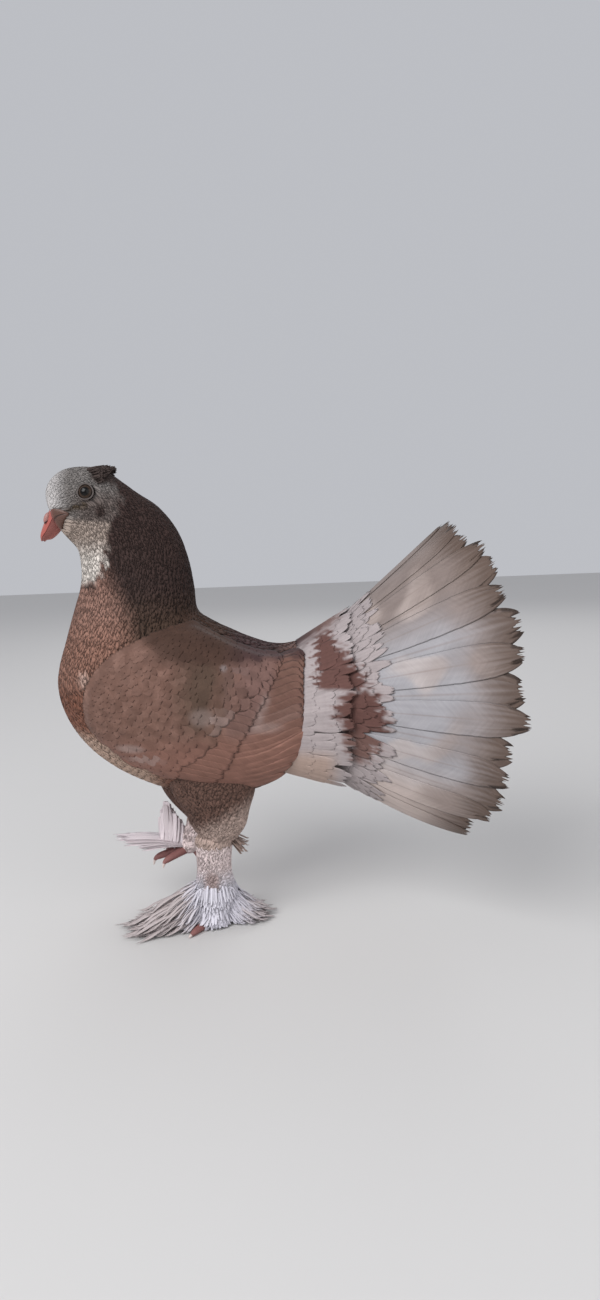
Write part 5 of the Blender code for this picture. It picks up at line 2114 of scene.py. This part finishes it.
@dataclass(frozen=True)
class Legs:
    """Thighs, shanks, muffs, toes and claws."""

    plumage: Plumage
    plan: LegPlan = LegPlan()

    def build(self) -> None:
        """Builds both legs."""
        plan, finishes = self.plan, self.plumage.finishes
        thigh, shank = (plan.thigh_gap, 5.0, finishes.body), (plan.shank_gap, 6.5, finishes.muff)
        self.build_limb("thigh_coat_left", plan.thigh_left, (0.4, 4.7), *thigh, 101)
        self.build_limb("thigh_coat_right", plan.thigh_right, (0.4, 3.7), *thigh, 102)
        self.build_limb("shank_coat_left", plan.shank_left, (0.3, 6.6), *shank, 103)
        self.build_limb("shank_coat_right", plan.shank_right, (0.3, 5.6), *shank, 104)
        self.build_hock_tuft()
        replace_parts(self.build_standing_muff(), "foot_left")
        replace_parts(self.build_raised_muff(), "foot_right")
        self.build_toes()
        log.info("legs: thighs, shanks, muffs and toes")

    def build_limb(
        self,
        name: str,
        rows: Rows,
        reach: Span,
        gap: float,
        gaps_long: float,
        material: Material,
        seed: int,
    ) -> None:
        """The coat of a thigh or a shank.

        Args:
            name: The piece's name.
            rows: The limb's rows.
            reach: Where its feathers grow, counted in rows.
            gap: Millimetres between feathers.
            gaps_long: Their length in gaps.
            material: What they are made of.
            seed: Seed of their differences.
        """
        surface, rng = LimbSurface(rows), dice(seed)
        u, v = scatter(surface, reach, (gap, gap))
        shown = surface.point(np.minimum(u + 0.3, len(rows) - 1), v)
        colour = vary(self.plumage.markings.leg(shown, "left" in name), 0.06, rng)
        length = gap * gaps_long * rng.uniform(0.85, 1.15, len(u))
        yaw = rng.normal(0, 0.08, len(u))
        feathers = Feathers(u, v, colour, gap * 1.2, length, yaw=yaw, base=-0.42, lift=0.28, edge=1.05)
        coat(name, "thigh_feathers", surface, FINE, feathers, material, seed)

    def build_hock_tuft(self) -> None:
        """Loose feathers that stand back from the left hock."""
        rng, count = dice(105), 26
        heading = np.radians(rng.uniform(150, 212, count))
        x, y = 8.0 - 6.5 * np.cos(heading), -12.5 - 6.0 * np.sin(heading)
        root = np.stack([x, y, rng.uniform(53, 61, count)], -1)
        length = rng.uniform(7.0, 12.0, count)
        colour = flock(Hue.THIGH_END.linear * 0.8, count, 0.1, rng)
        half = rng.uniform(1.0, 1.6, count)
        spray = Spray(root, heading, length, half, 0.4, root[:, 2] - rng.uniform(4.0, 8.0, count))
        made = muff_mesh("hock_tuft", spray, colour, MUFF, self.plumage.finishes.body, 106)

    def round_ankle(self, heading: Floats, start: Floats | float, height: Floats | float) -> Floats:
        """Roots at a distance and a height round the ankle."""
        cx, cy = self.plan.ankle
        x, y = cx - start * np.cos(heading), cy - start * np.sin(heading)
        return np.stack([x, y, height + 0 * heading], -1)

    def build_standing_muff(self) -> Piece:
        """The big spread muff of the standing foot: a cone of feathers from shank to floor.

        A feather's level goes from 0 at the floor to 1 at the shank: the higher it is, the
        higher it leaves and ends, and the shorter it is. Headings go round by the golden ratio.

        Returns:
            The muff.
        """
        rng, count, golden = dice(111), 1200, 0.6180339887
        angles, reaches = np.transpose(self.plan.reach)
        level = (np.arange(count) + 0.5) / count
        degrees = -76 + 361 * ((np.arange(count) * golden) % 1.0) + rng.normal(0, 2.0, count)
        heading = np.radians(degrees)
        start = 5.0 + 5.0 * level + rng.uniform(-0.8, 0.8, count)
        share = np.clip(1.0 - 0.74 * level**1.6 + rng.normal(0, 0.07, count), 0.2, 1.0)
        length = np.interp(degrees, angles, reaches) * share - start
        length = np.maximum(length, 4.5) * rng.uniform(0.85, 1.05, count)
        root = self.round_ankle(heading, start, 6.0 + 22.0 * level**0.85 + rng.normal(0, 0.9, count))
        end_z = 0.6 + 17.0 * level**1.5 + rng.uniform(0, 1.5, count)
        rise = 1.2 + 14.0 * smooth(60, 15, np.abs(degrees)) * level * (1 - level)
        half = np.interp(length, (5, 25, 55), (0.95, 1.8, 3.0)) * rng.uniform(0.8, 1.2, count)
        cone = Spray(root, heading, length, half, rise, end_z)

        toes = np.repeat(np.array(self.plan.toes[:3]), 7, 0)
        heading = np.radians(toes[:, 0] + np.tile(np.linspace(-13, 13, 7), 3))
        root = self.round_ankle(heading, 8.0, 9.0)
        length = (toes[:, 1] * 0.78 - 8) * rng.uniform(0.8, 1.0, 21)
        spray = cone.joined(Spray(root, heading, length, 1.9, 0.9, 4.4 + rng.uniform(-0.8, 0.2, 21)))
        colour = flock(Hue.MUFF, len(spray.heading), 0.05, rng)
        colour = mix(colour, Hue.MUFF_END, 0.8 * smooth(12, 32, spray.length))
        made = muff_mesh("muff_left", spray, colour, FLUFFY, self.plumage.finishes.muff, 112)
        return made

    def build_raised_muff(self) -> Piece:
        """The muff of the raised foot: feathers that hang out forward and some that stand up.

        The hanging ones run between six measured ones, as degrees, length, width, rise and
        the height of the tip.

        Returns:
            The muff.
        """
        rng, standing = dice(113), 100
        measured = np.array(
            [
                (22, 34, 7.0, 2.0, 43.0), (4, 56, 8.0, 2.0, 48.5), (-14, 54, 8.0, 2.0, 45.5),
                (-32, 48, 8.0, 2.0, 41.5), (-52, 39, 7.5, 2.0, 37.5), (-76, 29, 7.0, 2.0, 34.0),
            ]
        )
        place = np.linspace(0, 5, 56)
        degrees, length, width, rise, end_z = spline(measured, place).T
        x = np.linspace(-33.0, -17.5, standing)
        top = np.interp(x, (-33.0, -29.5, -17.5), (60.0, 71.0, 50.0)) - rng.uniform(0, 3.0, standing)
        upright = -90 + rng.uniform(-20, 20, standing)
        degrees = degrees + rng.normal(0, 2, len(place))
        length = length * rng.uniform(0.8, 1.0, len(place))
        layer = np.interp(place, (0, 1, 5), (5, 0, 4))
        offset = np.stack([2.0 + 0 * layer, 0 * layer, 0.9 - 0.37 * layer], -1)
        root = np.array(self.plan.raised_toes) + offset
        y, z = 17.5 + rng.uniform(-2.5, 2.0, standing), 42.0 + rng.uniform(-2.0, 1.0, standing)
        hanging = Spray(root, np.radians(degrees), length, width * 0.36, rise, end_z)
        lifted = Spray(np.stack([x, y, z], -1), np.radians(upright), 3.0 + 0 * top, 1.9, 0.0, top)
        spray = hanging.joined(lifted)
        colour = flock(mix(Hue.SHANK, Hue.MUFF, 0.5), len(spray.heading), 0.05, rng)
        made = muff_mesh("muff_right", spray, colour, MUFF, self.plumage.finishes.muff, 114)
        return made

    def build_toe(self, name: str, path: Floats, radii: tuple[float, ...]) -> None:
        """A scaly toe along a path, its last fifth a claw that curves down.

        Args:
            name: The toe's name.
            path: Points of its path.
            radii: A radius for each.
        """
        s = np.linspace(0, len(path) - 1, 70)
        share = s / s[-1]
        scutes = 1 + 0.045 * np.abs(np.sin(share * 60.0)) * (share < 0.78)
        rings = tube_rings(spline(path, s), np.interp(s, np.arange(len(radii)), radii) * scutes, 16)
        rings[..., 2] = np.maximum(rings[..., 2], 0.0)
        split, finishes = 56, self.plumage.finishes
        tube_mesh(f"{name}_toe", rings[: split + 2], finishes.toe)
        tube_mesh(f"{name}_claw", rings[split:], finishes.claw)

    def build_toes(self) -> None:
        """Four toes of the standing foot and four of the raised one."""
        cx, cy = self.plan.ankle
        for k, (degrees, length) in enumerate(self.plan.toes):
            heading = math.radians(degrees)
            way = np.array([-math.cos(heading), -math.sin(heading), 0.0])
            s = np.array([0.0, 0.5, 0.86, 1.0, 1.14])
            path = np.array([cx, cy, 1.8]) + way * (4.0 + (length - 4.0) * s)[:, None]
            path[:, 2] = (2.6, 2.5, 2.1, 1.7, 0.9)
            self.build_toe(f"left_{k}", path, (2.6, 2.4, 1.9, 1.2, 0.3))
        start = np.array(self.plan.raised_toes)
        x, z = np.array([(0, 0), (-8, -1.5), (-16, -3.4), (-21, -5), (-23.6, -6.8), (-24.8, -10.6)]).T
        for k, (turn, share) in enumerate(((0.06, 1.0), (0.62, 0.84), (-0.55, 0.86))):
            path = start + np.stack([x * math.cos(turn), x * math.sin(turn), z], -1) * share
            self.build_toe(f"right_{k}", path, (2.8, 2.6, 2.3, 2.0, 1.2, 0.3))
        hind = start + np.array([(1, 0, 0), (4, 0, -4), (5.5, 0, -8.5), (5.0, 0, -12), (4.0, 0, -14.5)])
        self.build_toe("right_3", hind, (2.7, 2.4, 2.0, 1.2, 0.3))


# Skin


@dataclass(frozen=True)
class Skin:
    """One seamless skin under the whole coat."""

    plumage: Plumage
    legs: LegPlan = LegPlan()
    voxel: float = 1.1
    around: int = 64

    def shells(self) -> list[Floats]:
        """Rings of the body and the limbs, drawn in by the depth of the coat."""
        turn = turns(self.around)[None]
        station = np.linspace(0.0, 22.25, 150)[:, None]
        depth = np.interp(station, (0, 5, 9, 14), (0.95, 1.3, 1.7, 2.1)) + 0 * turn
        made = [BodySurface().place(station, turn, -depth)]
        legs = self.legs
        for rows in (legs.thigh_left, legs.shank_left, legs.thigh_right, legs.shank_right):
            last = len(rows) - 1 - (0.1 if len(rows) > 6 else 0.0)
            u = np.linspace(0.0, last, 50)[:, None]
            made.append(LimbSurface(rows, legs.skin_depth).point(u, turn))
        return made

    def build(self) -> Piece:
        """Joins the shells by a voxel remesh and paints the result with the markings, darkened to 0.85 as
        painted shade under the coat.

        Returns:
            The skin.
        """
        points, quads, base = [], [], 0
        for rings in self.shells():
            corners, faces = closed_tube(rings)
            points.append(corners)
            quads.append(faces + base)
            base += len(corners)
        finish, marks = self.plumage.finishes.skin, self.plumage.markings
        rough = new_mesh("rough", np.vstack(points), np.vstack(quads), finish)
        remesh = rough.modifiers.new("remesh", "REMESH")
        remesh.mode = "VOXEL"
        remesh.voxel_size = self.voxel * MM
        rough.modifiers.new("relax", "SMOOTH").iterations = 6
        evaluated = rough.evaluated_get(bpy.context.evaluated_depsgraph_get()).to_mesh()
        places = np.zeros(len(evaluated.vertices) * 3, np.float32)
        evaluated.vertices.foreach_get("co", places)
        corners = np.zeros(len(evaluated.loops), np.int32)
        evaluated.loops.foreach_get("vertex_index", corners)
        bpy.data.objects.remove(rough)
        places = places.reshape(-1, 3) / MM
        leg = mix(marks.leg(places, False), marks.leg(places, True), places[:, 1] < 0)
        # times 0.85: painted shade where the skin shows between the feathers
        colours = mix(leg, marks.colour(places), smooth(90, 104, places[:, 2])) * 0.85
        skin = new_mesh("skin", places, corners.reshape(-1, 4), finish, colours)
        nodes = ["head", "neck", "torso", "rump", "thigh_left", "thigh_right", "shank_left", "shank_right"]
        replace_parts(skin, *nodes)
        log.info("skin: %d corners", len(places))
        return skin


# Studio


@dataclass(frozen=True)
class Studio:
    """Camera, floor, pale surroundings and soft lights; places are in metres."""

    lens: float = 851 / 1300 * 36
    sensor: float = 36.0
    camera_place: Place = (0.0609, -0.510, 0.2439)
    down: float = math.radians(8.4)
    roll: float = math.radians(2.2)
    aim: Place = (0.02, 0.0, 0.14)
    floor_half: float = 3.0
    floor_colour: tuple[float, ...] = (0.62, 0.61, 0.60, 1.0)
    sky_colour: tuple[float, ...] = (0.92, 0.94, 1.0, 1.0)
    sky_strength: float = 0.55

    def build(self) -> None:
        """Builds all of it."""
        self.build_camera()
        self.build_floor()
        self.build_world()
        self.build_light("key_light", (-0.85, -1.15, 1.25), 1.2, 26.0)
        self.build_light("fill_light", (0.9, -1.2, 0.7), 1.6, 7.0)
        self.build_light("back_light", (0.3, 1.3, 1.1), 1.2, 4.0)
        bpy.context.scene.view_settings.view_transform = "Standard"
        log.info("studio: camera, floor, three lights")

    def add(self, name: str, data: bpy.types.ID) -> Piece:
        """A new object in the scene."""
        made = bpy.data.objects.new(name, data)
        bpy.context.scene.collection.objects.link(made)
        return made

    def build_camera(self) -> None:
        """The camera of the photograph: it looks along +Y and down, and is rolled."""
        right0 = Vector((1.0, 0.0, 0.0))
        up0 = Vector((0.0, math.sin(self.down), math.cos(self.down)))
        right = right0 * math.cos(self.roll) - up0 * math.sin(self.roll)
        up = up0 * math.cos(self.roll) + right0 * math.sin(self.roll)
        data = bpy.data.cameras.new("camera")
        data.sensor_width = self.sensor
        data.lens = self.lens
        data.clip_start = 0.01
        camera = self.add("camera", data)
        turn = Matrix((right, up, right.cross(up))).transposed().to_4x4()
        camera.matrix_world = Matrix.Translation(self.camera_place) @ turn
        bpy.context.scene.camera = camera

    def build_floor(self) -> None:
        """A plain pale floor under the standing foot."""
        material, n, shader = start_material("floor")
        n.fill(shader, Base_Color=self.floor_colour, Roughness=0.85)
        mesh = bpy.data.meshes.new("floor")
        far = self.floor_half
        corners = [(-far, -far, 0), (far, -far, 0), (far, far, 0), (-far, far, 0)]
        mesh.from_pydata(corners, [], [(0, 1, 2, 3)])
        mesh.materials.append(material)
        self.add("floor", mesh)

    def build_world(self) -> None:
        """Even pale light from all round."""
        world = bpy.data.worlds.new("world")
        world.use_nodes = True
        sky = world.node_tree.nodes["Background"]
        sky.inputs["Color"].default_value = self.sky_colour
        sky.inputs["Strength"].default_value = self.sky_strength
        bpy.context.scene.world = world

    def build_light(self, name: str, place: Place, size: float, power: float) -> None:
        """A square area light that looks at the bird."""
        data = bpy.data.lights.new(name, "AREA")
        data.size = size
        data.energy = power
        lamp = self.add(name, data)
        lamp.location = place
        lamp.rotation_mode = "QUATERNION"
        lamp.rotation_quaternion = (Vector(self.aim) - Vector(place)).to_track_quat("-Z", "Y")


def main() -> None:
    """Builds the whole dressed bird and its studio."""
    finishes = Finishes()
    plumage = Plumage(finishes, Markings())
    BodyCoat(plumage).build()
    Crest(plumage).build()
    Eyes(finishes).build()
    Bill(finishes).build()
    Wings(plumage).build()
    Tail(plumage).build()
    Legs(plumage).build()
    Skin(plumage).build()
    Studio().build()


if __name__ == "__main__":
    main()
